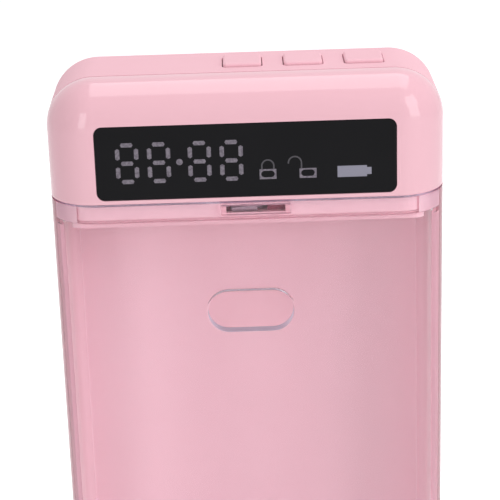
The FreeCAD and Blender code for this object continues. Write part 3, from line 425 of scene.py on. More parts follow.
@dataclass(frozen=True)
class ClearPlastic(Finish):
    """Water-clear plastic with faint smears."""

    tint: Colour
    shade_tint: Colour
    glare_tint: Colour = (0.5, 0.46, 0.5)
    refraction: float = 1.5
    smear: float = 0.012
    peel_depth: float = 2e-6
    smears: Pattern = Pattern(90.0, 4.0, 0.6, (1.0, 1.0, 0.3), 0.58, 0.14)
    peel: Pattern = Pattern(45.0, 1.0, 0.4)

    def inputs(self, graph: Graph) -> Inputs:
        """Adds the clear plastic's nodes.

        Args:
            graph: The tree.

        Returns:
            The shader's inputs.
        """
        return {
            "Base Color": self.tint,
            "Roughness": graph.noise(self.smears) * self.smear,
            "IOR": self.refraction,
            "Specular Tint": self.glare_tint,
            "Transmission Weight": 1.0,
            "Normal": graph.relief(graph.noise(self.peel), self.peel_depth),
        }

    def surface(self, graph: Graph) -> Value:
        """The shader, open to the lamps."""
        return graph.open_to_lamps(super().surface(graph), self.shade_tint)


@dataclass(frozen=True)
class FrostedEdge(Finish):
    """Cut or moulded edge of clear plastic: finely frosted, and deeper in colour than the faces, a lilac
    that is partly the plastic's own tint through its depth and partly painted reflection of the dim
    surroundings.
    """

    tint: Colour
    depth_and_reflection_tint: Colour
    frost: float = 0.3
    passing: float = 0.55
    refraction: float = 1.5
    line_frost: float = 0.12
    line_depth: float = 6e-6
    lines: Pattern = Pattern(1900.0, 3.0, 0.6, (0.35, 1.0, 1.0))

    def inputs(self, graph: Graph) -> Inputs:
        """Adds the edge's nodes.

        Args:
            graph: The tree.

        Returns:
            The shader's inputs.
        """
        lines = graph.noise(self.lines)
        return {
            "Base Color": graph.blend(lines.above(0.5, 0.3), self.tint, self.depth_and_reflection_tint),
            "Roughness": self.frost + lines * self.line_frost,
            "IOR": self.refraction,
            "Transmission Weight": self.passing,
            "Normal": graph.relief(lines, self.line_depth),
        }

    def surface(self, graph: Graph) -> Value:
        """The shader, open to the lamps."""
        return graph.open_to_lamps(super().surface(graph), self.tint)


@dataclass(frozen=True)
class SmokedPanel(Finish):
    """Smoked window, nearly black, with a few hair scratches."""

    colour: Colour
    worn_colour: Colour
    roughness: float = 0.06
    hair_roughness: float = 0.2
    shine: float = 0.11
    haze: Pattern = Pattern(55.0, edge=0.55, blur=0.25)
    hairs: Pattern = Pattern(240.0, 2.0, 0.4, (1.0, 1.0, 22.0), 0.7, 0.03)

    def inputs(self, graph: Graph) -> Inputs:
        """Adds the window's nodes.

        Args:
            graph: The tree.

        Returns:
            The shader's inputs.
        """
        hairs = graph.noise(self.hairs)
        worn = graph.noise(self.haze) * 0.5 + hairs * 0.5
        return {
            "Base Color": graph.blend(worn, self.colour, self.worn_colour),
            "Roughness": self.roughness + hairs * self.hair_roughness,
            "Specular IOR Level": self.shine,
        }


@dataclass(frozen=True)
class PrintedMark(Finish):
    """Unlit light segment or sign, mottled by its diffuser where it has a dark colour too."""

    colour: Colour
    dark: Optional[Colour] = None
    roughness: float = 0.45
    shine: float = 0.1
    mottle: Pattern = Pattern(1500.0, 2.0, 0.6, blur=0.22)

    def inputs(self, graph: Graph) -> Inputs:
        """The mark's inputs."""
        tone = graph.blend(graph.noise(self.mottle), self.dark, self.colour) if self.dark else self.colour
        return {"Base Color": tone, "Roughness": self.roughness, "Specular IOR Level": self.shine}


@dataclass(frozen=True)
class CircuitBoard(Finish):
    """Green board with tracks under its lacquer and tinned pads."""

    colour: Colour = (0.012, 0.115, 0.045)
    track: Colour = (0.03, 0.22, 0.08)
    pad: Colour = (0.62, 0.6, 0.55)
    pitch: float = 0.0016
    gap: float = 0.32
    pad_scale: float = 300.0
    pad_shine: float = 0.9
    roughness: float = 0.28
    pad_roughness: float = 0.12
    track_depth: float = 2e-5
    turns: Pattern = Pattern(90.0, 0.0, blur=0.005)

    def inputs(self, graph: Graph) -> Inputs:
        """Adds the board's nodes.

        Args:
            graph: The tree.

        Returns:
            The shader's inputs.
        """
        x, y, z = graph.parts(graph.place())
        edge = self.pitch * self.gap
        blur = self.pitch * 0.03
        rows = graph.maths("PINGPONG", z + y, self.pitch / 2).above(edge, blur)
        columns = graph.maths("PINGPONG", x, self.pitch / 2).above(edge, blur)
        side = graph.noise(self.turns)
        tracks = rows * side + columns * (1.0 - side)
        pads = 1.0 - graph.cells(self.pad_scale, 0.6).above(0.2, 0.02)
        return {
            "Base Color": graph.blend(pads, graph.blend(tracks, self.colour, self.track), self.pad),
            "Metallic": pads * self.pad_shine,
            "Roughness": self.roughness + pads * self.pad_roughness,
            "Normal": graph.relief(tracks.largest(pads), self.track_depth),
        }


@dataclass(frozen=True)
class TurnedMetal(Finish):
    """Bright metal with fine tool marks."""

    colour: Colour
    dull_colour: Colour
    roughness: float = 0.24
    mark_scale: float = 2600.0
    mark_roughness: float = 0.14
    mark_depth: float = 3e-6
    dull: Pattern = Pattern(420.0, 3.0, 0.6, edge=0.55, blur=0.2)

    def inputs(self, graph: Graph) -> Inputs:
        """Adds the metal's nodes.

        Args:
            graph: The tree.

        Returns:
            The shader's inputs.
        """
        marks = graph.noise(Pattern(self.mark_scale, 3.0, 0.6, (1.0, 1.0, 0.12)))
        return {
            "Base Color": graph.blend(graph.noise(self.dull), self.colour, self.dull_colour),
            "Metallic": 1.0,
            "Roughness": self.roughness + marks * self.mark_roughness,
            "Normal": graph.relief(marks, self.mark_depth),
        }


@dataclass(frozen=True)
class CellWrap(Finish):
    """Soft foil of a flat cell, with amber tape over its folded top edge."""

    top: float
    tape_width: float = 0.0023
    foil: Colour = (0.66, 0.67, 0.7)
    cloud_colour: Colour = (0.5, 0.51, 0.54)
    tape: Colour = (0.62, 0.3, 0.035)
    shine: float = 0.85
    roughness: float = 0.3
    crinkle_roughness: float = 0.2
    crinkle_depth: float = 4e-5
    clouds: Pattern = Pattern(160.0)
    crinkles: Pattern = Pattern(520.0, 4.0, 0.62)

    def inputs(self, graph: Graph) -> Inputs:
        """Adds the foil's nodes.

        Args:
            graph: The tree.

        Returns:
            The shader's inputs.
        """
        _, _, z = graph.parts(graph.place())
        tape = z.above(self.top - self.tape_width, 5e-5)
        foil = graph.blend(graph.noise(self.clouds), self.foil, self.cloud_colour)
        crinkles = graph.noise(self.crinkles)
        return {
            "Base Color": graph.blend(tape, foil, self.tape),
            "Metallic": (1.0 - tape) * self.shine,
            "Roughness": self.roughness + crinkles * self.crinkle_roughness,
            "Normal": graph.relief(crinkles, self.crinkle_depth),
        }


@dataclass(frozen=True)
class StippledRubber(Finish):
    """Dull rubber with a stippled tread."""

    colour: Colour
    dust_colour: Colour
    roughness: float = 0.72
    dust_roughness: float = 0.15
    stipples: float = 1500.0
    stipple_depth: float = 6e-5
    dust: Pattern = Pattern(700.0, 4.0, 0.7, edge=0.6, blur=0.15)

    def inputs(self, graph: Graph) -> Inputs:
        """Adds the rubber's nodes.

        Args:
            graph: The tree.

        Returns:
            The shader's inputs.
        """
        dust = graph.noise(self.dust)
        return {
            "Base Color": graph.blend(dust, self.colour, self.dust_colour),
            "Roughness": self.roughness + dust * self.dust_roughness,
            "Normal": graph.relief(1.0 - graph.cells(self.stipples), self.stipple_depth),
        }


@dataclass(frozen=True)
class PaleFloor(Finish):
    """Plain pale floor that looks white and keeps a soft shadow."""

    colour: Colour
    glow: float
    roughness: float = 0.9

    def inputs(self, graph: Graph) -> Inputs:
        """The dull floor's inputs, with a glow that is only looked at."""
        glow = {"Emission Color": graph.looked_at() * self.glow, "Emission Strength": 1.0}
        return {"Base Color": self.colour, "Roughness": self.roughness, "Specular IOR Level": 0.0, **glow}


# ---- Palette ----


class Slot(Enum):
    """The material slots of the part's record."""

    CLEAR = "clear_plastic"
    PINK = "pink_plastic"
    RUBBER = "foot_rubber"
    SCREW = "screw_steel"
    WINDOW = "window_black"
    MARK = "display_white"
    BOARD = "circuit_board"
    CHIP = "chip_black"
    CELL = "battery_wrap"
    SOCKET = "socket_steel"
    LOCK = "lock_plastic"
    BRASS = "gear_brass"
    MOTOR = "motor_steel"
    BOLT = "bolt_grey"


Nodes = tuple[tuple[Slot, tuple[str, ...]], ...]


class Palette:
    """The finishes, each made once."""

    def __init__(self) -> None:
        """Chooses the finish of each slot."""
        self.finishes: dict[Slot, Finish] = {
            Slot.CLEAR: ClearPlastic((0.985, 0.975, 0.985), (0.95, 0.94, 0.95)),
            Slot.PINK: MouldedPlastic(
                (0.83, 0.48, 0.55), (0.815, 0.465, 0.535), 0.07, 0.03, 2e-6, shine=0.45
            ),
            Slot.RUBBER: StippledRubber((0.6, 0.575, 0.575), (0.66, 0.64, 0.64)),
            Slot.SCREW: TurnedMetal((0.62, 0.62, 0.64), (0.45, 0.45, 0.47)),
            Slot.WINDOW: SmokedPanel((0.0035, 0.0033, 0.0045), (0.0055, 0.0052, 0.0065)),
            Slot.MARK: MouldedPlastic((0.78, 0.78, 0.77), (0.7, 0.7, 0.69), 0.4, 0.08),
            Slot.BOARD: CircuitBoard(),
            Slot.CHIP: MouldedPlastic((0.018, 0.018, 0.02), (0.03, 0.03, 0.032), 0.42, 0.12, 2e-6, 1e-5),
            Slot.CELL: CellWrap(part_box("battery")[1].z),
            Slot.SOCKET: TurnedMetal((0.72, 0.72, 0.74), (0.55, 0.55, 0.57), 0.18),
            # Painted shade: the lock housing is the pink darkened to maroon, as it shows in the shade behind
            # the slot.
            Slot.LOCK: MouldedPlastic(
                (0.26, 0.05, 0.09), (0.22, 0.045, 0.075), 0.38, 0.1, 2e-6, 8e-6, shine=0.2
            ),
            Slot.BRASS: TurnedMetal((0.82, 0.58, 0.24), (0.62, 0.42, 0.18), 0.22),
            Slot.MOTOR: TurnedMetal((0.68, 0.68, 0.7), (0.5, 0.5, 0.53), 0.16, 1800.0),
            Slot.BOLT: MouldedPlastic((0.3, 0.2, 0.25), (0.26, 0.17, 0.215), 0.32, 0.08, 2e-6, 5e-6),
        }
        self._made: dict[str, Material] = {}

    def material(self, slot: Slot) -> Material:
        """The material of a slot."""
        return self.special(slot.value, self.finishes[slot])

    def special(self, title: str, finish: Finish) -> Material:
        """A material made once by its title.

        Args:
            title: The material's name.
            finish: Its finish.

        Returns:
            The material.
        """
        if title not in self._made:
            self._made[title] = finish.material(title)
        return self._made[title]


# ---- Meshes ----


def new_object(title: str, data: ID) -> Object:
    """Puts a mesh, curve, lamp or camera in the scene.

    Args:
        title: The object's name.
        data: What it holds.

    Returns:
        The object, at the origin.
    """
    made = bpy.data.objects.new(title, data)
    bpy.context.scene.collection.objects.link(made)
    return made


def plain(source: Object) -> Object:
    """Turns an object with modifiers, or a curve, into one plain mesh.

    Args:
        source: The object, which is removed.

    Returns:
        The plain object, with the same name.
    """
    title = source.name
    depsgraph = bpy.context.evaluated_depsgraph_get()
    mesh = bpy.data.meshes.new_from_object(source.evaluated_get(depsgraph))
    bpy.data.objects.remove(source)
    mesh.name = title
    return new_object(title, mesh)


def smooth_copy(node: str, title: str, edge: float = 0.0) -> Object:
    """A merged, smooth copy of a carried-over node.

    Args:
        node: The node.
        title: The copy's name.
        edge: Millimetres that sharp edges are broken by.

    Returns:
        The copy.
    """
    work = bmesh.new()
    work.from_mesh(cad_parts[node].data)
    bmesh.ops.remove_doubles(work, verts=work.verts, dist=WELD)
    bmesh.ops.dissolve_degenerate(work, edges=work.edges, dist=SLIVER)
    if edge > 0:
        bmesh.ops.dissolve_limit(work, angle_limit=FLAT_EDGE, verts=work.verts, edges=work.edges)
    points = [tuple(vert.co) for vert in work.verts]
    work.verts.index_update()
    faces = [[vert.index for vert in face.verts] for face in work.faces]
    work.free()
    mesh = bpy.data.meshes.new(title)
    mesh.from_pydata(points, [], faces)
    made = new_object(title, mesh)
    if edge > 0:
        bevel = made.modifiers.new("edge", "BEVEL")
        bevel.width = edge * MM
        bevel.segments = 2
        bevel.limit_method = "ANGLE"
        bevel.angle_limit = SHARP_EDGE
        made = plain(made)
    made.data.shade_smooth()
    made.data.set_sharp_from_angle(angle=SHARP_EDGE)
    weigh = made.modifiers.new("weigh", "WEIGHTED_NORMAL")
    weigh.keep_sharp = True
    return plain(made)


def rounded_outline(centre: Point, size: Point, radius: float, steps: int = 6) -> list[Point]:
    """A rectangle with round corners.

    Args:
        centre: Its middle.
        size: Its width and height.
        radius: Its corners' radius.
        steps: Points to a corner, less one.

    Returns:
        Its points, in turn.
    """
    half_x = size[0] / 2 - radius
    half_z = size[1] / 2 - radius
    outline = []
    for quarter, (side_x, side_z) in enumerate([(1, 1), (-1, 1), (-1, -1), (1, -1)]):
        for step in range(steps + 1):
            angle = QUARTER_TURN * (quarter + step / steps)
            x = centre[0] + side_x * half_x + radius * math.cos(angle)
            z = centre[1] + side_z * half_z + radius * math.sin(angle)
            outline.append((x, z))
    return outline


def band_outline(line: Sequence[Point], width: float) -> list[Point]:
    """The outline of a band along a line.

    Args:
        line: Points along its middle.
        width: The band's width.

    Returns:
        The outline's points, in turn.
    """
    left = []
    right = []
    for number, (x, z) in enumerate(line):
        before = line[max(number - 1, 0)]
        after = line[min(number + 1, len(line) - 1)]
        along = Vector((after[0] - before[0], after[1] - before[1])).normalized() * width / 2
        left.append((x - along.y, z + along.x))
        right.append((x + along.y, z - along.x))
    return left + right[::-1]


# ---- Sub-assemblies ----


@dataclass(frozen=True)
class Facet:
    """A face of a piece: its middle, in millimetres, and its normal."""

    x: float
    y: float
    z: float
    normal: Vector

    @property
    def outward(self) -> float:
        """How squarely it looks away from the box's middle plane, or towards it if under 0."""
        return self.normal.x * math.copysign(1.0, self.x)


@dataclass
class SubAssembly(ABC):
    """A group of pieces that are made and dressed together."""

    palette: Palette
    shown: Nodes = ()

    @abstractmethod
    def build(self) -> None:
        """Makes the pieces that stand for nodes, and the signs."""

    def dress(self) -> None:
        """Finishes the nodes that are shown as they are."""
        for slot, nodes in self.shown:
            for node in nodes:
                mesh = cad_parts[node].data
                mesh.materials.clear()
                mesh.materials.append(self.palette.material(slot))
                LOG.info("%s: finished as %s", node, slot.value)

    def fit(
        self,
        piece: Object,
        body: str,
        slot: Slot,
        replaced: Sequence[str] = (),
        material: Optional[Material] = None,
    ) -> None:
        """Gives a piece its finish and its body.

        Args:
            piece: The piece.
            body: The body that it rides on.
            slot: The record's slot.
            replaced: The nodes that it stands for.
            material: Its material, where the slot's own isn't used.
        """
        piece.data.materials.clear()
        piece.data.materials.append(material or self.palette.material(slot))
        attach(piece, body)
        if replaced:
            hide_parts(*replaced)
        LOG.info("%s: %d faces on %s", piece.name, len(piece.data.polygons), body)

    def paint(
        self, piece: Object, title: str, finish: Finish, chosen: Callable[[Facet], bool]
    ) -> None:
        """Gives some of a piece's faces a finish of their own.

        Args:
            piece: The piece.
            title: The name of the finish's material.
            finish: The finish.
            chosen: Tells whether a face gets it.
        """
        mesh = piece.data
        mesh.materials.append(self.palette.special(title, finish))
        faces = [face for face in mesh.polygons if chosen(Facet(*face.center / MM, face.normal))]
        for face in faces:
            face.material_index = len(mesh.materials) - 1
        LOG.info("%s: %d faces as %s", piece.name, len(faces), title)

    def make_satin(self, piece: Object) -> None:
        """Gives all but a piece's underside the satin finish of the head's top, with a pink lighter than the
        gloss pink's as a painted sheen.
        """
        # Painted sheen: the satin pink is lighter, standing in for the reflection that its low shine leaves
        # out.
        satin = MouldedPlastic((0.88, 0.535, 0.605), (0.865, 0.52, 0.59), 0.35, 0.05, 2e-6, shine=0.006)
        self.paint(piece, "pink_satin_painted_sheen", satin, lambda face: face.normal.z > -MOSTLY)


@dataclass
class Container(SubAssembly):
    """The box: clear front shell, pink rear shell and feet."""

    shown: Nodes = ((Slot.RUBBER, ("rubber_feet",)),)
    body: str = "container"
    rim: float = field(default_factory=lambda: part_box("clear_front_shell")[1].z / MM)
    seam: float = field(default_factory=lambda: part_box("clear_front_shell")[1].y / MM)
    lip_front: float = field(default_factory=lambda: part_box("rear_shell")[0].y / MM)
    ledge: float = 166.1
    groove_top: float = 166.0
    hole_z: float = 140.5
    hole_reach: float = 12.2
    hole_rise: float = 6.45
    corner: float = 45.0
    pocket_reach: float = 13.0
    cavity_inset: float = 2.0
    broken_edge: float = 0.22
    near: float = 0.3
    close: float = 0.2
    touching: float = 0.01

    def build(self) -> None:
        """Makes the two shells."""
        clear = smooth_copy("clear_front_shell", "clear_front", self.broken_edge)
        self.fit(clear, self.body, Slot.CLEAR, ["clear_front_shell"])
        # Partly painted reflection: the lilac of the cut edges is partly the plastic's tint through its
        # depth and partly the dim surroundings seen in them.
        cut = FrostedEdge((0.72, 0.74, 0.92), (0.64, 0.66, 0.84), 0.55, 0.8)
        self.paint(clear, "clear_cut_edge", cut, self.is_cut_edge)
        # Painted view and shade: the groove's faces show the lip behind them as a darker pink.
        grooved = MouldedPlastic((0.76, 0.37, 0.46), (0.7, 0.34, 0.42), 0.5)
        self.paint(clear, "clear_groove", grooved, self.is_groove)
        # Painted shade: the clear shell's end is dark mauve where it meets the rear shell.
        seam_shade = MouldedPlastic((0.46, 0.12, 0.18), (0.42, 0.11, 0.16), 0.5)
        self.paint(clear, "clear_seam", seam_shade, self.is_clear_seam)
        # Painted view and light: the seat's faces show the skirt behind them as a lit pink, and a darker
        # lilac towards the outer corners as painted shade.
        seated = PaintedSeeThroughPlastic(
            (0.94, 0.59, 0.68),
            (0.9, 0.56, 0.64),
            0.5,
            painted_side_shading=(0.79, 0.45, 0.55),
            middle_width=0.09,
            side_width=0.1,
        )
        self.paint(clear, "clear_seat", seated, self.is_seat)
        rear = smooth_copy("rear_shell", "pink_rear")
        self.fit(rear, self.body, Slot.PINK, ["rear_shell"])
        # Painted light and shade: the walls round the phone are lighter towards the box's sides and darker
        # towards the front by the clear shell.
        inside = FrontShadedWall(
            (0.805, 0.49, 0.558),
            (0.785, 0.47, 0.538),
            0.3,
            0.1,
            shine=0.04,
            painted_side_shading=(0.91, 0.605, 0.675),
            painted_front_shade=(0.76, 0.4, 0.475),
        )
        self.paint(rear, "pink_inside", inside, self.is_inside)
        # Painted shade: the rear shell's seam faces are dark mauve.
        rear_seam_shade = MouldedPlastic((0.32, 0.14, 0.18), (0.26, 0.11, 0.15), 0.5)
        self.paint(rear, "pink_seam", rear_seam_shade, self.is_rear_seam)

    def is_cut_edge(self, face: Facet) -> bool:
        """Whether a face of the clear shell is the rim's top or a side of the finger hole."""
        at_hole = abs(face.x) < self.hole_reach and abs(face.z - self.hole_z) < self.hole_rise
        return abs(face.z - self.rim) < self.touching or (at_hole and abs(face.normal.y) < MOSTLY)

    def is_groove(self, face: Facet) -> bool:
        """Whether a face of the clear shell is one of its groove, which the rear shell's lip fills."""
        inner = face.z < self.groove_top and (face.outward < -PARTLY or face.normal.z > PARTLY)
        return face.y > self.lip_front - self.close and (inner or face.normal.y > STRAIGHT)

    def is_clear_seam(self, face: Facet) -> bool:
        """Whether a face of the clear shell is its end, which is glued to the rear shell."""
        return face.y > self.seam - self.near and face.normal.y > STRAIGHT

    def is_seat(self, face: Facet) -> bool:
        """Tells the mouth's ledge, its corners by the skirt and the sides of the bolt's pocket.

        Args:
            face: A face of the clear shell.

        Returns:
            Whether it is one of them.
        """
        if abs(face.z - self.ledge) < self.near:
            return face.normal.z > STRAIGHT
        in_mouth = self.ledge < face.z < self.rim - self.close
        in_pocket = abs(face.x) < self.pocket_reach and abs(face.normal.y) < MOSTLY
        return in_mouth and (in_pocket or (abs(face.x) > self.corner and face.outward < -PARTLY))

    def is_inside(self, face: Facet) -> bool:
        """Whether a face of the rear shell is one of the walls round the phone."""
        to_front = face.normal.y < -BARELY and face.y > self.seam + self.cavity_inset
        return to_front or face.outward < -BARELY or face.normal.z > MOSTLY

    def is_rear_seam(self, face: Facet) -> bool:
        """Tells where the rear shell is glued to the clear shell.

        Args:
            face: A face of the rear shell.

        Returns:
            Whether it lies there.
        """
        on_end = face.normal.y < -MOSTLY and face.y > self.lip_front + self.near
        outside = face.outward > PARTLY or face.normal.z < -PARTLY
        return face.y <= self.seam + self.close and (on_end or outside)


@dataclass
class HeadShells(SubAssembly):
    """The head's two covers and its base tray."""

    shown: Nodes = ((Slot.SCREW, ("case_screws",)),)
    body: str = "head"

    def build(self) -> None:
        """Makes the covers and the tray."""
        for node, title in (("front_cover", "head_front"), ("base_tray", "head_tray")):
            self.fit(smooth_copy(node, title), self.body, Slot.PINK, [node])
        rear = smooth_copy("rear_cover", "head_rear")
        self.fit(rear, self.body, Slot.PINK, ["rear_cover"])
        self.make_satin(rear)


@dataclass
class Buttons(SubAssembly):
    """The three buttons on the head's top."""

    shown: Nodes = (
        (Slot.CHIP, ("left_switch_plunger", "middle_switch_plunger", "right_switch_plunger")),
    )
    sides: tuple[str, ...] = ("left", "middle", "right")

    def build(self) -> None:
        """Makes the buttons."""
        for side in self.sides:
            node = f"{side}_button"
            key = smooth_copy(node, f"{side}_key")
            self.fit(key, node, Slot.PINK, [node])
            self.make_satin(key)


@dataclass(frozen=True)
class Padlock:
    """A padlock sign, in millimetres: a plate with a long hole, and a bow on one or two legs."""

    middle: Point
    size: Point
    hole: Point
    bow_middle: Point
    bow_foot: float
    bow_radius: float
    sweep: float = 180.0
    left_leg: bool = True
    corner: float = 0.12
    hole_size: Point = (3.5, 1.76)
    bow_width: float = 0.38
    bow_steps: int = 18

    def plate(self) -> list[list[Point]]:
        """The outlines of the plate and its hole."""
        hole = rounded_outline(self.hole, self.hole_size, self.hole_size[1] / 2)
        return [rounded_outline(self.middle, self.size, self.corner, 2), hole]

    def bow(self) -> list[Point]:
        """Draws the bow, from its right leg round to the left.

        Returns:
            Its outline.
        """
        x, z = self.bow_middle
        line = [(x + self.bow_radius, self.bow_foot)]
        for step in range(self.bow_steps + 1):
            angle = math.radians(self.sweep * step / self.bow_steps)
            line.append((x + self.bow_radius * math.cos(angle), z + self.bow_radius * math.sin(angle)))
        if self.left_leg:
            line.append((x - self.bow_radius, self.bow_foot))
        return band_outline(line, self.bow_width)


@dataclass
class Display(SubAssembly):
    """The smoked window with its digits and signs, whose heights are over the head's lower edge."""

    shown: Nodes = ((Slot.MARK, ("led_display",)),)
    body: str = "head"
    base: float = field(default_factory=lambda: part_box("front_cover")[0].z / MM)
    front: float = field(default_factory=lambda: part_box("display_window")[0].y / MM)
    broken_edge: float = 0.12
    proud: float = 0.03
    sunk: float = 0.01
    digit_xs: tuple[float, ...] = (-31.0, -22.72, -12.15, -3.87)
    digit_lift: float = 11.1
    arm: float = 4.98
    half_width: float = 2.45
    level_length: float = 3.3
    upright_length: float = 3.1
    stroke: float = 1.14
    dot_x: float = -17.39
    dot_width: float = 1.7
    shut_lock: Padlock = Padlock((5.53, 7.06), (4.4, 2.72), (5.51, 7.08), (5.53, 9.35), 8.4, 1.56)
    open_lock: Padlock = Padlock(
        (15.98, 7.03), (4.46, 2.66), (15.96, 7.08), (12.6, 9.92), 8.3, 1.7, 186.0, left_leg=False
    )
    cell_xs: tuple[float, ...] = (23.67, 31.36, 32.54)
    cell_zs: tuple[float, ...] = (5.62, 6.2, 8.12, 8.66)
    colour: Colour = (0.23, 0.205, 0.24)
    dark: Colour = (0.13, 0.113, 0.14)
    solid_colour: Colour = (0.262, 0.254, 0.314)
    thin_colour: Colour = (0.085, 0.08, 0.09)

    def build(self) -> None:
        """Makes the window and everything on it."""
        window = smooth_copy("display_window", "smoked_window", self.broken_edge)
        self.fit(window, self.body, Slot.WINDOW, ["display_window"])
        mark = self.palette.special("unlit_segment", PrintedMark(self.colour, self.dark))
        solid = self.palette.special("solid_sign", PrintedMark(self.solid_colour))
        thin = self.palette.special("thin_sign", PrintedMark(self.thin_colour))
        self.fit(self.digits(mark), self.body, Slot.MARK, (), mark)
        dot_size = (self.dot_width, self.dot_width)
        dot = rounded_outline((self.dot_x, self.digit_lift), dot_size, self.dot_width / 2)
        self.lay("colon_dot", [dot], mark)
        for title, lock in (("padlock_shut", self.shut_lock), ("padlock_open", self.open_lock)):
            self.lay(title, lock.plate(), mark)
            self.lay(f"{title}_bow", [lock.bow()], thin)
        self.lay("battery_sign", [self.cell()], solid)

    @property
    def level(self) -> float:
        """The middle of a mark's thickness, from front to back, in metres."""
        return (self.front + (self.sunk - self.proud) / 2) * MM

    def digits(self, material: Material) -> Object:
        """Lays the segments of the four digits.

        Args:
            material: The segments' material.

        Returns:
            The digits, as one mesh.
        """
        sizes = {
            "Arm": self.arm,
            "Half Width": self.half_width,
            "Level Length": self.level_length,
            "Upright Length": self.upright_length,
            "Stroke": self.stroke,
            "Depth": self.proud + self.sunk,
        }
        height = (self.base + self.digit_lift) * MM
        mesh = bpy.data.meshes.new("digit_segments")
        mesh.from_pydata([(x * MM, self.level, height) for x in self.digit_xs], [], [])
        made = new_object("digit_segments", mesh)
        modifier = made.modifiers.new("segments", "NODES")
        modifier.node_group = self.segment_tree(list(sizes))
        values = {"Material": material, **{name: size * MM for name, size in sizes.items()}}
        for item in modifier.node_group.interface.items_tree:
            if item.name in values:
                modifier[item.identifier] = values[item.name]
        return plain(made)

    def segment_tree(self, sizes: Sequence[str]) -> NodeTree:
        """Builds the tree that lays seven segments on each point.

        Args:
            sizes: The names of its sizes.

        Returns:
            The tree.
        """
        tree = bpy.data.node_groups.new("seven_segments", "GeometryNodeTree")
        kinds = {"Geometry": "Geometry", **dict.fromkeys(sizes, "Float"), "Material": "Material"}
        for name, kind in kinds.items():
            tree.interface.new_socket(name, in_out="INPUT", socket_type=f"NodeSocket{kind}")
        tree.interface.new_socket("Geometry", in_out="OUTPUT", socket_type="NodeSocketGeometry")
        graph = Graph(tree)
        given = graph.node("NodeGroupInput")
        arm = given["Arm"]
        down = graph.node("ShaderNodeCombineXYZ", {}, {"Z": arm * -1.0})["Vector"]
        step = graph.node("ShaderNodeCombineXYZ", {}, {"Z": arm})["Vector"]
        levels = graph.node("GeometryNodeMeshLine", {}, {"Count": 3, "Start Location": down, "Offset": step})
        across = {"Size X": given["Half Width"] * 2.0, "Size Y": arm, "Vertices X": 2, "Vertices Y": 2}
        corners = graph.turned(graph.node("GeometryNodeMeshGrid", {}, across)["Mesh"], UPRIGHT)
        bars = graph.repeated(levels["Mesh"], self.segment(graph, given, given["Level Length"], 0.0))
        post = self.segment(graph, given, given["Upright Length"], QUARTER_TURN)
        digit = graph.node("GeometryNodeJoinGeometry")
        for part in (bars, graph.repeated(corners, post)):
            tree.links.new(part.socket, digit.node.inputs["Geometry"])
        laid = graph.repeated(given["Geometry"], digit["Geometry"])
        real = graph.node("GeometryNodeRealizeInstances", {}, {"Geometry": laid})["Geometry"]
        painted = {"Geometry": real, "Material": given["Material"]}
        done = graph.node("GeometryNodeSetMaterial", {}, painted)["Geometry"]
        graph.node("NodeGroupOutput", {}, {"Geometry": done})
        return tree

    def segment(self, graph: Graph, given: Made, length: Value, turn: float) -> Value:
        """Adds one segment: a long plate with six corners, pointed at both ends.

        Args:
            graph: The tree.
            given: The tree's inputs.
            length: The segment's length.
            turn: Its turn in the window's plane, in radians.

        Returns:
            The segment's geometry.
        """
        radius = given["Stroke"] / math.sqrt(3.0)
        hexagon = {"Vertices": 6, "Radius": radius, "Depth": given["Depth"]}
        disc = graph.node("GeometryNodeMeshCylinder", {}, hexagon)["Mesh"]
        x, _, _ = graph.parts(graph.node("GeometryNodeInputPosition")["Position"])
        away = graph.maths("SIGN", x, 0.0) * (length / 2.0 - radius)
        shift = graph.node("ShaderNodeCombineXYZ", {}, {"X": away})["Vector"]
        drawn_out = {"Geometry": disc, "Offset": shift}
        plate = graph.node("GeometryNodeSetPosition", {}, drawn_out)["Geometry"]
        return graph.turned(graph.turned(plate, (0.0, 0.0, turn)), UPRIGHT)

    def cell(self) -> list[Point]:
        """Draws the battery sign, with its cap at the right.

        Returns:
            Its outline.
        """
        left, shoulder, cap = self.cell_xs
        low, cap_low, cap_high, high = self.cell_zs
        foot = [(left, low), (shoulder, low), (shoulder, cap_low), (cap, cap_low)]
        return foot + [(cap, cap_high), (shoulder, cap_high), (shoulder, high), (left, high)]

    def lay(self, title: str, outlines: Sequence[Sequence[Point]], material: Material) -> None:
        """Lays a thin plate on the window.

        Args:
            title: Its name.
            outlines: Its outline and its holes.
            material: Its material.
        """
        curve = bpy.data.curves.new(title, "CURVE")
        curve.dimensions = "2D"
        curve.fill_mode = "BOTH"
        curve.extrude = (self.proud + self.sunk) / 2 * MM
        for outline in outlines:
            spline = curve.splines.new("POLY")
            spline.points.add(len(outline) - 1)
            for point, (x, z) in zip(spline.points, outline):
                point.co = (x * MM, (self.base + z) * MM, 0.0, 1.0)
            spline.use_cyclic_u = True
        made = plain(new_object(title, curve))
        stood = Matrix.Rotation(QUARTER_TURN, 4, "X")
        made.data.transform(Matrix.Translation((0.0, self.level, 0.0)) @ stood)
        self.fit(made, self.body, Slot.MARK, (), material)


@dataclass
class Electronics(SubAssembly):
    """Boards, switches, buzzer, cell and charging socket."""

    shown: Nodes = (
        (Slot.BOARD, ("main_board", "key_board", "charge_board")),
        (Slot.CHIP, ("board_chips", "buzzer", "switch_bodies")),
        (Slot.SCREW, ("board_screws",)),
        (Slot.CELL, ("battery",)),
        (Slot.SOCKET, ("charge_socket",)),
    )

    def build(self) -> None:
        """Makes no piece, because the nodes themselves are shown."""


@dataclass
class Lock(SubAssembly):
    """The bolt and what drives it."""

    shown: Nodes = (
        (Slot.LOCK, ("lock_housing",)),
        (Slot.BRASS, ("gearbox", "drive_pinion")),
        (Slot.MOTOR, ("lock_motor", "pinion_shaft")),
    )

    def build(self) -> None:
        """Makes the bolt."""
        self.fit(smooth_copy("latch_bolt", "lock_bolt"), "latch", Slot.BOLT, ["latch_bolt"])


# ---- Studio ----


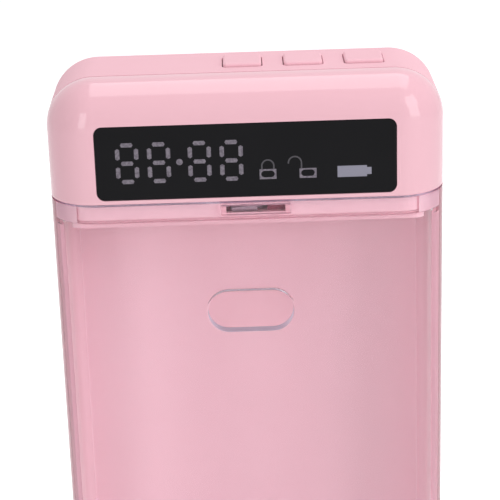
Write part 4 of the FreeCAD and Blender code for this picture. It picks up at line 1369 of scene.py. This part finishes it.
@dataclass(frozen=True)
class Softbox:
    """One soft lamp."""

    title: str
    place: Place
    aim: Place
    width: float
    height: float
    brightness: float

    def build(self) -> None:
        """Hangs the lamp."""
        lamp = bpy.data.lights.new(self.title, "AREA")
        lamp.shape = "RECTANGLE"
        lamp.size = self.width
        lamp.size_y = self.height
        lamp.energy = self.brightness * math.pi * self.width * self.height
        made = new_object(self.title, lamp)
        way = Vector(self.aim) - Vector(self.place)
        made.rotation_euler = way.to_track_quat("-Z", "Y").to_euler()
        made.location = self.place
        made.visible_camera = False


@dataclass
class Studio:
    """Floor, surroundings, lamps and camera."""

    fill: float = 0.54
    floor_colour: Colour = (0.88, 0.88, 0.88)
    floor_glow: float = 0.45
    floor_reach: float = 6.0
    lamps: tuple[Softbox, ...] = (
        Softbox("top_softbox", (0.17, 0.2, 1.0), (0.17, 0.2, 0.0), 0.66, 0.9, 2.08),
        Softbox("right_softbox", (0.75, -0.69, 0.47), (0.0, 0.0, 0.15), 0.5, 0.92, 2.8),
        Softbox("left_softbox", (-0.52, -0.87, 0.28), (0.0, 0.0, 0.15), 0.32, 0.65, 2.8),
    )
    eye: Place = (-0.000844, -0.472323, 0.324879)
    forward: Place = (0.00217531, 0.93874125, -0.34461593)
    up: Place = (0.03213052, 0.3443732, 0.93828286)
    lens: float = 131.69
    sensor: float = 36.0
    shift: float = 0.00055
    nearest: float = 0.01
    bounces: int = 28

    def build(self) -> None:
        """Sets up the studio."""
        self.lay_floor()
        self.light_surroundings()
        for lamp in self.lamps:
            lamp.build()
        self.place_camera()
        self.follow_light()
        bpy.context.scene.view_settings.view_transform = "Standard"

    def lay_floor(self) -> None:
        """Lays the floor."""
        sides = [(-1.0, -1.0), (1.0, -1.0), (1.0, 1.0), (-1.0, 1.0)]
        corners = [(x * self.floor_reach, y * self.floor_reach, 0.0) for x, y in sides]
        mesh = bpy.data.meshes.new("studio_floor")
        mesh.from_pydata(corners, [], [(0, 1, 2, 3)])
        floor = new_object("studio_floor", mesh)
        mesh.materials.append(PaleFloor(self.floor_colour, self.floor_glow).material("pale_floor"))

    def light_surroundings(self) -> None:
        """Makes the surroundings white to look at, and dimmer as a light."""
        world = bpy.data.worlds.new("white_studio")
        bpy.context.scene.world = world
        world.use_nodes = True
        graph = Graph(world.node_tree)
        strength = self.fill + graph.looked_at() * (1.0 - self.fill)
        white = graph.node("ShaderNodeBackground", {}, {"Color": (1.0, 1.0, 1.0), "Strength": strength})
        graph.node("ShaderNodeOutputWorld", {}, {"Surface": white["Background"]})

    def follow_light(self) -> None:
        """Lets light run far enough inside the clear walls, where it is turned back many times."""
        for kind in ("max", "transmission", "glossy"):
            setattr(bpy.context.scene.cycles, f"{kind}_bounces", self.bounces)

    def place_camera(self) -> None:
        """Sets the camera."""
        data = bpy.data.cameras.new("studio_camera")
        data.lens = self.lens
        data.sensor_width = self.sensor
        data.shift_y = self.shift
        data.clip_start = self.nearest
        camera = new_object("studio_camera", data)
        back = -Vector(self.forward).normalized()
        side = Vector(self.up).cross(back).normalized()
        turn = Matrix((side, back.cross(side), back)).transposed().to_4x4()
        camera.matrix_world = Matrix.Translation(self.eye) @ turn
        bpy.context.scene.camera = camera


# ---- Making ----


def main() -> None:
    """Builds and dresses the sub-assemblies, then the studio."""
    logging.basicConfig(level=logging.INFO, format="%(name)s: %(message)s")
    palette = Palette()
    for kind in (Container, HeadShells, Buttons, Display, Electronics, Lock):
        part = kind(palette)
        part.build()
        part.dress()
        LOG.info("%s is done", kind.__name__)
    Studio().build()


if __name__ == "__main__":
    main()
